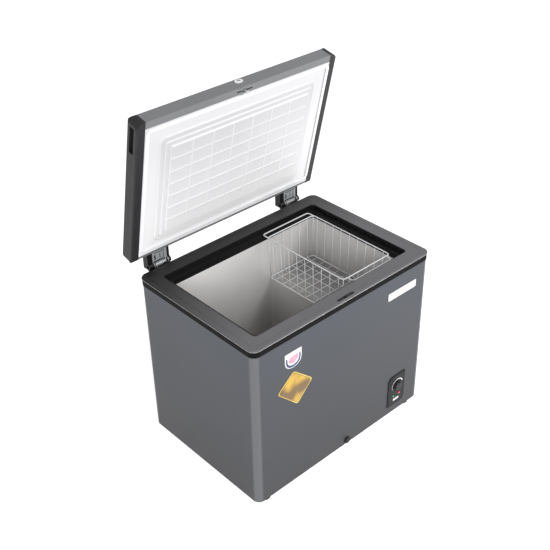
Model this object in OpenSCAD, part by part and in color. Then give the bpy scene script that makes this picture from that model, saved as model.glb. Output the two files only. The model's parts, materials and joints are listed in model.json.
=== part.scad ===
// Chest freezer with a counterbalanced lid, shown with the lid standing open.
// Millimetres, +Z up, +X to the right as seen from the front, front towards -Y.
// The origin is on the floor, at the middle of the whole outline with the lid open.

/* [Cabinet] */
// Width of the steel cabinet
body_w = 920; // [820:10:1100]
// Depth of the steel cabinet
body_d = 645; // [600:5:720]
// Height of the rim above the floor
rim_z = 750; // [720:5:850]
// Height of the feet under the cabinet
foot_h = 23; // [12:1:40]
// Radius of the cabinet's upright corners
corner_r = 28; // [20:1:40]
// Thickness of the outer sheet steel
skin_t = 1.2; // [0.8:0.1:2]
// Thickness of the insulated walls
wall_t = 84; // [70:1:95]
// Thickness of the insulated floor
floor_t = 80; // [60:1:100]
// Thickness of the bottom pan
pan_t = 1.5; // [1:0.1:3]

/* [Top frame] */
// Thickness of the grey top frame
frame_t = 6; // [4:0.5:10]
// How far the frame stands out past the cabinet
frame_over = 3; // [1.5:0.5:6]
// Width of the ledge inside the opening
ledge_w = 20; // [14:1:24]
// Depth of the ledge below the rim
ledge_drop = 20; // [16:1:28]
// Depth of the liner's upper edge below the rim
strip_drop = 46; // [40:1:70]
// Radius of the frame's inner corners
collar_r = 16; // [10:1:30]
// Wall of the black opening strip
strip_t = 2; // [1.5:0.5:3]
// Height of the black band under the frame
band_h = 25; // [15:1:40]
// Thickness of the black band
band_t = 1.8; // [1:0.1:1.9]
// Length of the lock slit
slot_l = 74; // [62:1:90]
// Width of the lock slit
slot_w = 5; // [4.5:0.5:6]
// Distance of the lock slit from the cabinet's front
slot_in = 14; // [12:0.5:18]

/* [Liner] */
// Thickness of the liner sheet
liner_t = 1.2; // [0.8:0.1:2]
// Radius of the liner's upright corners
liner_r = 14; // [10:1:24]
// Width of the step over the compressor bay
step_w = 237; // [225:1:300]
// Depth of the step's top below the rim
step_drop = 233; // [225:1:260]
// Foam around the compressor bay
step_foam = 60; // [40:1:66]

/* [Lid] */
// Thickness of the lid's steel body
lid_t = 60; // [54:1:75]
// Gap between the lid's steel and the frame when closed
lid_gap = 6; // [5:0.5:8]
// How far the lid stands out past the cabinet's front
lid_front = 2; // [0:0.5:6]
// How far the lid stops short of the cabinet's back
lid_short = 26; // [22:1:34]
// Thickness of the lid's sheet steel
lid_skin_t = 1; // [0.7:0.1:1.6]
// Width of each end cap, seen from below
cap_w = 36; // [32:1:42]
// How far each end cap stands out past the cabinet's side
cap_out = 14; // [8:1:16]
// Width of the steel hem under the lid's front edge
hem_w = 32; // [28:1:38]
// Radius of the end cap's front corner
cap_r = 34; // [24:1:40]
// Depth of the finger grip in the end cap
grip_deep = 18; // [14:1:22]
// Length of the finger grip
grip_l = 106; // [80:2:130]
// Height of the finger grip
grip_h = 24; // [18:1:28]
// Depth of the lid liner's raised panel
panel_h = 16; // [12:1:16]
// Clearance round the lid liner's panel in the opening
panel_gap = 5; // [4:0.5:8]
// Width of each tier of the lid liner's panel
panel_step = 20; // [12:1:24]
// Number of ribs across the lid liner
rib_rows = 8; // [6:1:12]
// Number of ribs along the lid liner
rib_cols = 6; // [4:1:9]
// Width of a rib
rib_w = 5; // [4:0.5:8]
// Height of a rib
rib_h = 1.6; // [1:0.1:2]

/* [Hinges] */
// Angle that the lid stands open at
lid_open = 77; // [60:1:85]
// Distance of the hinge pin behind the cabinet
pin_back = 30; // [28:0.5:36]
// Depth of the hinge pin below the rim
pin_drop = 4; // [2:0.5:8]
// Radius of the hinge pin
pin_r = 5; // [4:0.5:6]
// Running clearance of the hinge pin
pin_fit = 0.05; // [0.02:0.01:0.1]
// Distance of each hinge from the cabinet's side
hinge_in = 115; // [90:5:200]
// Width of a hinge
hinge_w = 104; // [96:1:112]
// Height of each hinge's base plate
hinge_h = 87; // [80:1:100]
// Thickness of the hinge plates
plate_t = 3; // [2.5:0.5:4]
// Wire radius of the lid spring
spring_wire = 1.75; // [1.2:0.05:2]
// Turns of the lid spring
spring_turns = 7; // [4:1:9]

/* [Lock] */
// Place of the lock to the right of the middle
lock_x = 2; // [-20:1:20]
// Height of the lock above the lid's underside
lock_up = 37; // [35:1:38]
// Radius of the lock cylinder
lock_r = 7; // [6:0.5:8]
// Throw of the lock cylinder's crank pin
crank_r = 12; // [9:0.5:12]
// Length of the hook's cross head
head_l = 10; // [8:1:12]
// Width of the hook's cross head
head_w = 9; // [8:0.5:10]
// Thickness of the hook's sheet steel
hook_t = 3; // [2:0.5:3]
// Clearance of the hook's head in its slits
head_fit = 2; // [1.5:0.5:3]

/* [Basket] */
// Width of the wire basket at its rim
basket_w = 260; // [220:5:270]
// Depth of the wire basket at its rim, front to back
basket_d = 424; // [380:2:440]
// Height of the basket
basket_h = 190; // [160:1:196]
// Radius of the thick wires
wire_r = 2.5; // [2:0.1:3]
// Radius of the thin wires
thin_r = 1.5; // [1.2:0.1:2]
// Pitch of the upright wires
wire_pitch = 46; // [36:1:60]
// How far the basket's sides lean in on each side
basket_lean = 6; // [4:1:20]

/* [Controls] */
// Width of the control panel
ctrl_w = 100; // [90:1:120]
// Height of the control panel
ctrl_h = 154; // [140:1:180]
// Radius of the control panel's round corners
ctrl_r = 24; // [14:1:30]
// Radius of the thermostat dial
dial_r = 23; // [18:1:26]
// How far the dial stands out of the panel
dial_out = 11; // [8:1:14]
// Radius of each lamp
lamp_r = 5; // [4:0.5:7]
// Radius of the drain plug's head
plug_r = 15; // [12:1:17]
// Radius of the drain bore
drain_r = 7; // [5:0.5:9]

/* [Hidden] */
$fn = 48;

base_z = foot_h;
frame_z = rim_z - frame_t;
back_y = body_d / 2;
front_y = -body_d / 2;
touch = 0.3;

// opening of the liner, and what lies round it
open_w = body_w - 2 * wall_t;
open_d = body_d - 2 * wall_t + 1;
collar_w = open_w + 2 * (ledge_w + strip_t);
collar_d = open_d + 2 * (ledge_w + strip_t);
liner_top = rim_z - strip_drop;
flange_w = 9;
floor_z = base_z + floor_t;
step_z = rim_z - step_drop;
step_x = open_w / 2 - step_w;
well_w = open_w - step_w;
well_x = -open_w / 2 + well_w / 2;

// compressor bay
bay_x = step_x + step_foam;
bay_z = step_z - step_foam;
bay_w = body_w / 2 - skin_t - bay_x;
part_t = 1.2;
cover_w = bay_w - 60;
cover_h = 260;
cover_x = bay_x + bay_w / 2;
cover_z = base_z + 30;
vent_d = 230;
vent_h = 150;
vent_z = base_z + 60;
comp_x = bay_x + bay_w / 2;
comp_y = back_y - 150;
comp_r = 74;
comp_z = base_z + 34;
comp_h = 168;
comp_plate = 2 * comp_r + 8;
grommet_in = 16;
grommet_r = 7;

// hinges
hinge_x = body_w / 2 - hinge_in;
base_top = frame_z - band_h - 6;
base_low = base_top - hinge_h;
screw_r = 2.5;
base_screw_x = [16 - hinge_w / 2, 4, hinge_w / 2 - 29];
base_screw_z = [base_low + 14, base_top - 25];

// lid, in its closed place
pin_y = back_y + pin_back;
pin_z = rim_z - pin_drop;
lid_z = rim_z + lid_gap;
lid_y0 = front_y - lid_front;
lid_y1 = back_y - lid_short;
lid_l = lid_y1 - lid_y0;
lid_mid = (lid_y0 + lid_y1) / 2;
cap_x = body_w / 2 + cap_out;
cap_in = cap_x - cap_w;
cap_over = 1.5;
cap_top = lid_z + lid_t + cap_over;
cap_back = lid_y1 + cap_over;
cap_round = 16;
ridge_z = lid_z + 7;
sheet_t = 1.2;
face_z = lid_z - sheet_t;
panel_w = open_w - 2 * panel_gap;
panel_d = open_d - 2 * panel_gap;
panel_r = 26;
gasket_w = 14;

// control panel and drain
ctrl_x = body_w / 2 - 98 - ctrl_w / 2;
ctrl_z = base_z + 38 + ctrl_h / 2;
ctrl_lip = 3;
dial_z = ctrl_z + 19;
dial_dx = 4;
lamp_dx = 18;
lamp_z = ctrl_z - 28;
drain_x = 22;
drain_z = base_z + 17;
plug_lip = 4;

// whole outline with the lid standing open, which sets the origin
open_back = pin_y + (cap_back - cap_round - pin_y) * cos(lid_open)
    + (cap_top - cap_round - pin_z) * sin(lid_open) + cap_round;
closed_front = front_y - ctrl_lip - dial_out;
origin_y = -(open_back + closed_front) / 2;

// ---------------------------------------------------------------- shared shapes

// moves a piece from the cabinet's own middle to the part's origin
module placed() {
    translate([0, origin_y, 0]) children();
}

// swings a piece that is drawn on the closed lid up to where the lid stands
module on_lid() {
    placed() translate([0, pin_y, pin_z]) rotate([-lid_open, 0, 0])
        translate([0, -pin_y, -pin_z]) children();
}

// rounded rectangle about the origin
module rrect(w, d, r) {
    square([w - 2 * r, d], center = true);
    square([w, d - 2 * r], center = true);
    for (x = [-1, 1], y = [-1, 1]) translate([x * (w / 2 - r), y * (d / 2 - r)]) circle(r = r);
}

// upright block with rounded corners
module rblock(w, d, r, h) {
    linear_extrude(height = h) rrect(w, d, r);
}

// upright tube with rounded corners, its wall inside the outline
module rtube(w, d, r, t, h) {
    linear_extrude(height = h) difference() {
        rrect(w, d, r);
        rrect(w - 2 * t, d - 2 * t, max(r - t, 1));
    }
}

// sweeps a flat profile round a rounded rectangle; profile x points outward, y up
module sweep_rrect(w, d, r) {
    for (a = [0, 180]) rotate([0, 0, a]) {
        translate([w / 2, 0, 0]) rotate([90, 0, 0])
            linear_extrude(height = d - 2 * r, center = true) children();
        rotate([0, 0, 90]) translate([d / 2, 0, 0]) rotate([90, 0, 0])
            linear_extrude(height = w - 2 * r, center = true) children();
        translate([w / 2 - r, d / 2 - r, 0])
            rotate_extrude(angle = 90) translate([r, 0]) children();
        translate([w / 2 - r, r - d / 2, 0]) rotate([0, 0, -90])
            rotate_extrude(angle = 90) translate([r, 0]) children();
    }
}

// round bar along X, Y or Z from a start point
module bar_x(r, l) { rotate([0, 90, 0]) cylinder(r = r, h = l); }
module bar_y(r, l) { rotate([-90, 0, 0]) cylinder(r = r, h = l); }

// outline in the plane of the hinge cheeks, drawn as (depth, height), given a width
module cheek(x, t) {
    translate([x, 0, 0]) rotate([90, 0, 90]) linear_extrude(height = t) children();
}

// plate outline with its upper left and lower right corners round
module leaf(w, h, r) {
    rrect(w, h, r);
    translate([w / 2 - r, h / 2 - r]) square(r);
    translate([-w / 2, -h / 2]) square(r);
}

// ---------------------------------------------------------------- cabinet

module panel_cut() {
    translate([ctrl_x, front_y + skin_t + 1, ctrl_z]) rotate([90, 0, 0])
        linear_extrude(height = skin_t + 2) leaf(ctrl_w - 8, ctrl_h - 8, ctrl_r - 4);
}

// places of the screws of both hinge bases, on the cabinet's back
module at_base_screws() {
    for (s = [-1, 1], x = base_screw_x, z = base_screw_z)
        translate([s * hinge_x + x, back_y, z]) children();
}

module cabinet_shell() {
    placed() color([0.43, 0.44, 0.46]) difference() {
        translate([0, 0, base_z]) rtube(body_w, body_d, corner_r, skin_t, frame_z - base_z);
        panel_cut();
        translate([drain_x, front_y - 1, drain_z]) bar_y(drain_r + 3, skin_t + 2);
        translate([cover_x - cover_w / 2 + 12, back_y - skin_t - 1, cover_z + 12])
            cube([cover_w - 24, skin_t + 2, cover_h - 24]);
        at_base_screws() translate([0, -5, 0]) bar_y(screw_r + 0.1, 10);
        translate([body_w / 2 - skin_t - 1, comp_y - vent_d / 2 + 8, vent_z + 8])
            cube([skin_t + 2, vent_d - 16, vent_h - 16]);
    }
}

foot_x = body_w / 2 - 60;
foot_y = back_y - 34;
foot_r = 24;
stud_r = 4;

module at_feet() {
    for (x = [-1, 1], y = [-1, 1]) translate([x * foot_x, y * foot_y, 0]) children();
}

module base_pan() {
    placed() color([0.35, 0.36, 0.38]) difference() {
        translate([0, 0, base_z]) union() {
            rblock(body_w - 2 * skin_t, body_d - 2 * skin_t, corner_r - skin_t, pan_t);
            translate([bay_x + 14, comp_y - comp_plate / 2 - 17, 0])
                cube([bay_w - 40, comp_plate + 34, pan_t + 1]);
        }
        translate([0, 0, base_z - 1]) at_feet() cylinder(r = stud_r, h = pan_t + 4);
        for (i = [0:6]) translate([bay_x + 40 + 30 * i, front_y + 60, base_z - 1])
            cube([12, 110, pan_t + 4]);
    }
}

module feet() {
    placed() color([0.1, 0.1, 0.11]) at_feet() difference() {
        rotate_extrude() polygon([[0, 0], [foot_r - 2, 0], [foot_r, 2], [foot_r, 6],
            [foot_r - 6, foot_h], [0, foot_h]]);
        translate([0, 0, 6]) cylinder(r = stud_r, h = foot_h);
    }
}

module foot_studs() {
    placed() color([0.7, 0.7, 0.72]) at_feet() {
        translate([0, 0, 6]) cylinder(r = stud_r, h = base_z - 6 + pan_t);
        translate([0, 0, base_z + pan_t]) cylinder(r = 8, h = 5, $fn = 6);
    }
}

// space taken by the liner, its flange and the opening strip, grown by g
module liner_space(g) {
    translate([0, 0, step_z - g]) rblock(open_w + 2 * g, open_d + 2 * g, liner_r + g, rim_z - step_z);
    translate([well_x, 0, floor_z - g])
        rblock(well_w + 2 * g, open_d + 2 * g, liner_r + g, step_z - floor_z + 2 * g);
}

module inner_liner() {
    placed() color([0.86, 0.87, 0.88]) difference() {
        union() {
            intersection() {
                liner_space(liner_t);
                translate([-body_w / 2, front_y, 0]) cube([body_w, body_d, liner_top - liner_t]);
            }
            translate([0, 0, liner_top - liner_t])
                rblock(open_w + 2 * flange_w, open_d + 2 * flange_w, liner_r + flange_w, liner_t);
        }
        liner_space(0);
        translate([drain_x, drain_in_y, floor_z - 5]) cylinder(r = drain_r + 2, h = 10);
    }
}

// flattened tubes in rings: the evaporator on the liner, the condenser on the outer skin
coil_t = 4;
coil_h = 8;
coil_n = 5;
coil_pitch = 34;
upper_coil_z = step_z + 16;
lower_coil_z = floor_z + 60;
lower_coil_pitch = 62;
skin_coil_z = bay_z + 70;

module evaporator() {
    placed() color([0.8, 0.45, 0.3]) {
        for (i = [0:coil_n - 2]) translate([0, 0, upper_coil_z + coil_pitch * i])
            rtube(open_w + 2 * (liner_t + coil_t), open_d + 2 * (liner_t + coil_t),
                liner_r + liner_t + coil_t, coil_t, coil_h);
        translate([-open_w / 2 - liner_t - coil_t, -6, upper_coil_z])
            cube([coil_t, 12, coil_pitch * (coil_n - 2)]);
    }
}

module condenser() {
    placed() color([0.2, 0.2, 0.21]) {
        for (i = [0:coil_n - 1]) translate([0, 0, skin_coil_z + coil_pitch * 1.3 * i])
            rtube(body_w - 2 * skin_t, body_d - 2 * skin_t, corner_r - skin_t, coil_t, coil_h);
        translate([body_w / 2 - skin_t - coil_t, -6, skin_coil_z])
            cube([coil_t, 12, coil_pitch * 1.3 * (coil_n - 1)]);
    }
}

drain_in_y = front_y + wall_t + 40;

module drain_tube(r, grow) {
    translate([drain_x, front_y + skin_t - grow, drain_z])
        bar_y(r, drain_in_y - front_y + r - skin_t + grow);
    translate([drain_x, drain_in_y, drain_z]) cylinder(r = r, h = floor_z - liner_t - drain_z + grow);
}

module foam() {
    placed() color([0.93, 0.88, 0.7]) difference() {
        translate([0, 0, base_z + pan_t])
            rblock(body_w - 2 * skin_t, body_d - 2 * skin_t, corner_r - skin_t, frame_z - base_z - pan_t);
        liner_space(liner_t);
        // seat of the liner's flange and of the opening strip
        translate([0, 0, liner_top - liner_t])
            rblock(open_w + 2 * flange_w, open_d + 2 * flange_w, liner_r + flange_w, liner_t);
        translate([0, 0, liner_top - 1])
            rblock(open_w + 2 * strip_t, open_d + 2 * strip_t, liner_r + strip_t, strip_drop);
        translate([0, 0, rim_z - ledge_drop - strip_t])
            rblock(collar_w, collar_d, collar_r, ledge_drop + strip_t);
        // compressor bay behind its partition
        translate([bay_x - part_t, front_y - 1, base_z])
            cube([body_w / 2 - bay_x + 2, body_d + 2, bay_z + part_t - base_z]);
        // coils
        for (i = [0:coil_n - 2]) translate([0, 0, upper_coil_z + coil_pitch * i])
            rblock(open_w + 2 * (liner_t + coil_t), open_d + 2 * (liner_t + coil_t),
                liner_r + liner_t + coil_t, coil_h);
        translate([-open_w / 2 - liner_t - coil_t, -6, upper_coil_z])
            cube([coil_t + 1, 12, coil_pitch * (coil_n - 2)]);
        for (i = [0:coil_n - 1]) translate([0, 0, skin_coil_z + coil_pitch * 1.3 * i])
            rtube(body_w, body_d, corner_r, coil_t + skin_t, coil_h);
        translate([body_w / 2 - skin_t - coil_t, -6, skin_coil_z])
            cube([coil_t + 1, 12, coil_pitch * 1.3 * (coil_n - 1)]);
        // drain and lock
        drain_tube(drain_r + 2, 2);
        // pocket under the frame's slit
        translate([lock_x - slot_l / 2 - 1, front_y + slot_in - head_w / 2 - head_fit, frame_z - 14])
            cube([slot_l + 2, head_w + 2 * head_fit, 16]);
        // nuts of the left feet
        translate([0, 0, base_z]) at_feet() cylinder(r = 10, h = 9);
        at_base_screws() translate([0, -8, 0]) bar_y(screw_r + 0.1, 10);
    }
}

// slit for the lock's hook, with a wider middle where its cross head goes through
module slit_space(z, h) {
    translate([lock_x, front_y + slot_in, z + h / 2]) {
        cube([slot_l, slot_w, h], center = true);
        cube([head_l + 2 * head_fit, head_w + 2 * head_fit, h], center = true);
    }
}

module top_frame() {
    placed() color([0.36, 0.365, 0.375]) difference() {
        union() {
            translate([0, 0, frame_z]) linear_extrude(height = frame_t) difference() {
                rrect(body_w, body_d, corner_r);
                rrect(collar_w, collar_d, collar_r);
            }
            // rounded edge that stands out past the cabinet
            translate([0, 0, frame_z]) sweep_rrect(body_w, body_d, corner_r) {
                square([frame_over - frame_over / 2, frame_t]);
                square([frame_over, frame_t - frame_over]);
                translate([0, frame_t - frame_over]) intersection() {
                    circle(r = frame_over);
                    square(frame_over);
                }
            }
        }
        slit_space(frame_z - 1, frame_t + 2);
        // shallow line round the frame's upper face
        translate([0, 0, rim_z - 0.6]) rtube(body_w - 38, body_d - 38, corner_r - 10, 1.6, 1);
    }
}

module breaker_strip() {
    placed() color([0.06, 0.06, 0.065]) {
        translate([0, 0, rim_z - ledge_drop]) rtube(collar_w, collar_d, collar_r, strip_t, ledge_drop);
        translate([0, 0, rim_z - ledge_drop - strip_t]) linear_extrude(height = strip_t) difference() {
            rrect(collar_w, collar_d, collar_r);
            rrect(open_w, open_d, liner_r);
        }
        translate([0, 0, rim_z - strip_drop])
            rtube(open_w + 2 * strip_t, open_d + 2 * strip_t, liner_r + strip_t, strip_t,
                strip_drop - ledge_drop - strip_t);
    }
}

module trim_band() {
    placed() color([0.08, 0.08, 0.085]) translate([0, 0, frame_z - band_h])
        sweep_rrect(body_w, body_d, corner_r) {
            square([band_t, band_h - 1]);
            square([band_t - 0.8, band_h]);
        }
}

module bay_partition() {
    placed() color([0.6, 0.61, 0.63]) difference() {
        translate([bay_x - part_t, front_y + skin_t, base_z + pan_t])
            cube([bay_w + part_t, body_d - 2 * skin_t, bay_z + part_t - base_z - pan_t]);
        translate([bay_x, front_y, base_z - 1]) cube([bay_w + 2, body_d, bay_z - base_z + 1]);
        // keeps clear of the rounded corners of the skin
        for (y = [-1, 1]) translate([body_w / 2 - corner_r, y * (back_y - corner_r), 0])
            difference() {
                translate([0, y > 0 ? 0 : -corner_r - 1, 0]) cube([corner_r + 1, corner_r + 1, rim_z]);
                translate([0, 0, -1]) cylinder(r = corner_r - skin_t, h = rim_z + 2);
            }
    }
}

// louvred steel cover of the compressor bay
module rear_cover() {
    placed() color([0.33, 0.34, 0.36]) difference() {
        union() {
            translate([cover_x - cover_w / 2, back_y, cover_z]) cube([cover_w, 1.2, cover_h]);
            for (i = [0:8]) translate([cover_x - cover_w / 2 + 24, back_y + 1.2, cover_z + 40 + 21 * i])
                rotate([90, 0, 90]) linear_extrude(height = cover_w - 48)
                    polygon([[0, 0], [5, 0], [0, 9]]);
        }
        for (i = [0:8]) translate([cover_x - cover_w / 2 + 25, back_y - 1, cover_z + 41 + 21 * i])
            rotate([90, 0, 90]) linear_extrude(height = cover_w - 50)
                polygon([[0, -3], [5, -3], [5, 0], [1.5, 6], [0, 6]]);
        translate([cord_x, back_y - 1, cord_z]) bar_y(cord_r, 4);
    }
}

cord_x = cover_x - cover_w / 2 + 22;
cord_z = cover_z + 20;
cord_r = 8;

// bush that the mains lead passes through
module cord_gland() {
    placed() color([0.08, 0.08, 0.08]) translate([cord_x, back_y - 3, cord_z]) difference() {
        union() {
            bar_y(cord_r, 4.2);
            translate([0, 4.2, 0]) bar_y(cord_r + 3, 6);
        }
        translate([0, -1, 0]) bar_y(4, 14);
    }
}

// plastic air grille on the right-hand side
module side_grille() {
    placed() color([0.12, 0.12, 0.13]) translate([body_w / 2, comp_y - vent_d / 2, vent_z]) {
        difference() {
            cube([2.5, vent_d, vent_h]);
            for (i = [0:9]) translate([-1, 14, 12 + i * (vent_h - 24) / 10 + 2])
                cube([5, vent_d - 28, (vent_h - 24) / 10 - 4]);
        }
        for (y = [vent_d / 3, 2 * vent_d / 3]) translate([-6, y - 2, 10]) cube([6, 4, vent_h - 20]);
    }
}

// ---------------------------------------------------------------- cooling set

module compressor() {
    placed() color([0.07, 0.07, 0.075]) translate([comp_x, comp_y, comp_z]) {
        rotate_extrude() {
            square([comp_r - 40, comp_h]);
            square([comp_r - 20, comp_h - 40]);
            translate([0, 20]) square([comp_r, comp_h - 60]);
            translate([comp_r - 20, 20]) circle(r = 20);
            translate([comp_r - 40, comp_h - 40]) intersection() {
                circle(r = 40);
                square(40);
            }
            translate([comp_r - 2, 74]) square([6, 7]);
        }
    }
}

grommet_x = comp_plate / 2 - grommet_in;

module at_grommets() {
    for (x = [-1, 1], y = [-1, 1])
        translate([comp_x + x * grommet_x, comp_y + y * grommet_x, 0]) children();
}

module compressor_plate() {
    placed() color([0.15, 0.15, 0.16]) difference() {
        translate([comp_x, comp_y, comp_z - 4]) rblock(comp_plate, comp_plate, grommet_in, 4);
        at_grommets() translate([0, 0, comp_z - 6]) cylinder(r = grommet_r, h = 10);
    }
}

module grommets() {
    placed() color([0.12, 0.12, 0.12]) at_grommets() translate([0, 0, base_z + pan_t + 1]) {
        cylinder(r = grommet_r + 4, h = comp_z - 4 - base_z - pan_t - 1);
        cylinder(r = grommet_r, h = comp_z - base_z - pan_t + 2);
        translate([0, 0, comp_z - base_z - pan_t - 1]) cylinder(r = grommet_r + 3, h = 3);
    }
}

module start_relay() {
    placed() color([0.1, 0.1, 0.11]) translate([comp_x, comp_y, comp_z + 30]) difference() {
        union() {
            translate([-comp_r - 30, -24, 0]) cube([26, 48, 40]);
            translate([-comp_r - 10, -12, 8]) cube([14, 24, 24]);
        }
        translate([0, 0, -1]) cylinder(r = comp_r + 0.1, h = 60);
    }
}

drier_x = bay_x + 34;
drier_y = comp_y - 150;
drier_z = base_z + 150;
drier_r = 10;
drier_h = 114;
drier_neck = 12;

// copper lines from the compressor to the drier and up into the step
pipe_r = 3.5;
pipe_bend = 16;
pipe_out = 24;

module filter_drier() {
    placed() color([0.78, 0.48, 0.32]) translate([drier_x, drier_y, drier_z]) rotate_extrude()
        polygon([[0, 0], [pipe_r, 0], [pipe_r, drier_neck], [drier_r, drier_neck + drier_r],
            [drier_r, drier_h - drier_neck - drier_r], [pipe_r, drier_h - drier_neck],
            [pipe_r, drier_h], [0, drier_h]]);
}

module pipework() {
    side_y = comp_y - comp_r - 0.2;
    side_z = comp_z + comp_h - 58;
    placed() color([0.8, 0.47, 0.3]) {
        // suction line, out of the compressor's side and up through the bay's ceiling
        translate([comp_x, side_y, side_z]) rotate([90, 0, 0]) cylinder(r = pipe_r, h = pipe_out);
        translate([comp_x, side_y - pipe_out, side_z + pipe_bend]) rotate([0, 0, 180]) rotate([0, 90, 0])
            rotate_extrude(angle = 90) translate([pipe_bend, 0]) circle(r = pipe_r);
        translate([comp_x, side_y - pipe_out - pipe_bend, side_z + pipe_bend])
            cylinder(r = pipe_r, h = bay_z - side_z - pipe_bend);
        // liquid line, from the drier up to the ceiling
        translate([drier_x, drier_y, drier_z + drier_h]) cylinder(r = pipe_r, h = bay_z - drier_z - drier_h);
        // foot of the drier, standing on the pan
        translate([drier_x, drier_y, base_z + pan_t]) cylinder(r = pipe_r, h = drier_z - base_z - pan_t);
    }
}

// ---------------------------------------------------------------- controls and drain

module control_panel() {
    placed() color([0.05, 0.05, 0.055]) difference() {
        union() {
            translate([ctrl_x, front_y, ctrl_z]) rotate([90, 0, 0])
                linear_extrude(height = ctrl_lip) leaf(ctrl_w, ctrl_h, ctrl_r);
            translate([ctrl_x, front_y + 10, ctrl_z]) rotate([90, 0, 0])
                linear_extrude(height = 10) leaf(ctrl_w - 8, ctrl_h - 8, ctrl_r - 4);
        }
        // shaft bore, lamp bores and the dial's shallow seat
        translate([ctrl_x + dial_dx, front_y - 10, dial_z]) bar_y(4, 24);
        translate([ctrl_x + dial_dx, front_y - ctrl_lip - 1, dial_z]) bar_y(dial_r + 2.5, 1 + ctrl_lip / 2);
        for (s = [-1, 1]) translate([ctrl_x + s * lamp_dx, front_y - 10, lamp_z]) bar_y(lamp_r, 24);
        // raised frame line inside the edge
        translate([ctrl_x, front_y - ctrl_lip + 0.6, ctrl_z]) rotate([90, 0, 0])
            linear_extrude(height = 1) difference() {
                leaf(ctrl_w - 8, ctrl_h - 8, ctrl_r - 4);
                leaf(ctrl_w - 11, ctrl_h - 11, ctrl_r - 5.5);
            }
    }
}

module thermostat_body() {
    placed() color([0.75, 0.75, 0.77]) translate([ctrl_x + dial_dx, front_y + 10, dial_z]) {
        translate([-19, 0, -24]) cube([38, 22, 48]);
        translate([0, -10 - ctrl_lip, 0]) bar_y(3, 10 + ctrl_lip);
        translate([0, -10 - ctrl_lip - 5, 0]) bar_y(3, 5);
    }
}

module thermostat_dial() {
    placed() color([0.13, 0.13, 0.135])
        translate([ctrl_x + dial_dx, front_y - ctrl_lip / 2 - touch, dial_z]) rotate([90, 0, 0])
        difference() {
            union() {
                cylinder(r = dial_r, h = 2.5);
                cylinder(r = dial_r - 3, h = dial_out + ctrl_lip / 2 - touch);
            }
            for (a = [0:15:345]) rotate([0, 0, a]) translate([dial_r - 2.4, 0, 3.5])
                cylinder(r = 1.6, h = dial_out, $fn = 16);
            translate([0, 0, -1]) cylinder(r = 3.05, h = 8);
            translate([-1.2, 6, dial_out - 1]) cube([2.4, dial_r, 4]);
        }
}

module lamp(x) {
    translate([ctrl_x + x, front_y + 12, lamp_z]) rotate([90, 0, 0]) {
        cylinder(r = lamp_r, h = 12 + ctrl_lip);
        translate([0, 0, 12 + ctrl_lip]) intersection() {
            sphere(r = lamp_r);
            cylinder(r = lamp_r, h = 2.6);
        }
    }
}

module green_lamp() {
    placed() color([0.15, 0.6, 0.35]) lamp(-lamp_dx);
}

module red_lamp() {
    placed() color([0.75, 0.1, 0.2]) lamp(lamp_dx);
}

module drain_spout() {
    placed() color([0.85, 0.85, 0.86]) difference() {
        union() {
            difference() {
                drain_tube(drain_r + 2, 0);
                translate([drain_x, front_y - 5, drain_z])
                    bar_y(drain_r, drain_in_y - front_y + 5);
                translate([drain_x, drain_in_y, drain_z]) cylinder(r = drain_r, h = floor_t);
            }
            translate([drain_x, front_y - 2, drain_z]) difference() {
                bar_y(drain_r + 3, 2 + skin_t);
                translate([0, -1, 0]) bar_y(drain_r, 6);
            }
        }
    }
}

module drain_plug() {
    placed() color([0.04, 0.04, 0.045]) translate([drain_x, front_y - 2 - touch, drain_z])
        rotate([90, 0, 0]) {
            rotate_extrude() polygon([[0, 0], [plug_r - 1, 0], [plug_r, 1], [plug_r, plug_lip - 1.5],
                [plug_r - 1.5, plug_lip], [0, plug_lip]]);
            translate([0, 0, -16]) cylinder(r = drain_r - touch, h = 17);
        }
}

// ---------------------------------------------------------------- lid

lid_r = 12;

// side outline of the lid's steel body, inset by g; x is depth and y is height
module lid_outline(g) {
    translate([lid_y0 + g, lid_z + g]) square([lid_l - 2 * g, lid_t - lid_r - g]);
    translate([lid_y0 + lid_r, lid_z + g]) square([lid_l - 2 * lid_r, lid_t - 2 * g]);
    for (y = [lid_y0 + lid_r, lid_y1 - lid_r]) translate([y, lid_z + lid_t - lid_r])
        circle(r = lid_r - g);
}

hem_back = 14;

module lid_skin() {
    on_lid() color([0.44, 0.45, 0.47]) difference() {
        cheek(-cap_in, 2 * cap_in) difference() {
            lid_outline(0);
            lid_outline(lid_skin_t);
            translate([lid_y0 + hem_w, lid_z - 1]) square([lid_l - hem_w - hem_back, 3]);
        }
        slit_space(lid_z - 1, 4);
        translate([lock_x, lid_y0 - 5, lock_z]) bar_y(lock_r + 2, 10);
    }
}

module lid_foam() {
    on_lid() color([0.93, 0.88, 0.7]) difference() {
        union() {
            cheek(-cap_in, 2 * cap_in) lid_outline(lid_skin_t);
            translate([-cap_in, lid_y0 + hem_w, lid_z])
                cube([2 * cap_in, lid_l - hem_w - hem_back, 4]);
            panel_stack(sheet_t);
        }
        case_space();
        translate([lock_x, lid_y0, lock_z]) bar_y(lock_r + 2, slot_in);
    }
}

// three stacked tiers of the lid liner's raised panel, inset by g
module panel_stack(g) {
    for (i = [0:2]) translate([0, 0, face_z - panel_h * (i + 1) / 3 + g])
        rblock(panel_w - 2 * (g + panel_step * i), panel_d - 2 * (g + panel_step * i),
            panel_r - 4 * i - g, panel_h * (i + 1) / 3 + sheet_t - g);
}

rib_x = panel_w / 2 - 2 * panel_step - 2;
rib_y = panel_d / 2 - 2 * panel_step - 2;
rib_gap = 2 * rib_y / (rib_rows - 1);
rib_pitch = 2 * rib_x / (rib_cols + 1);

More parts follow.
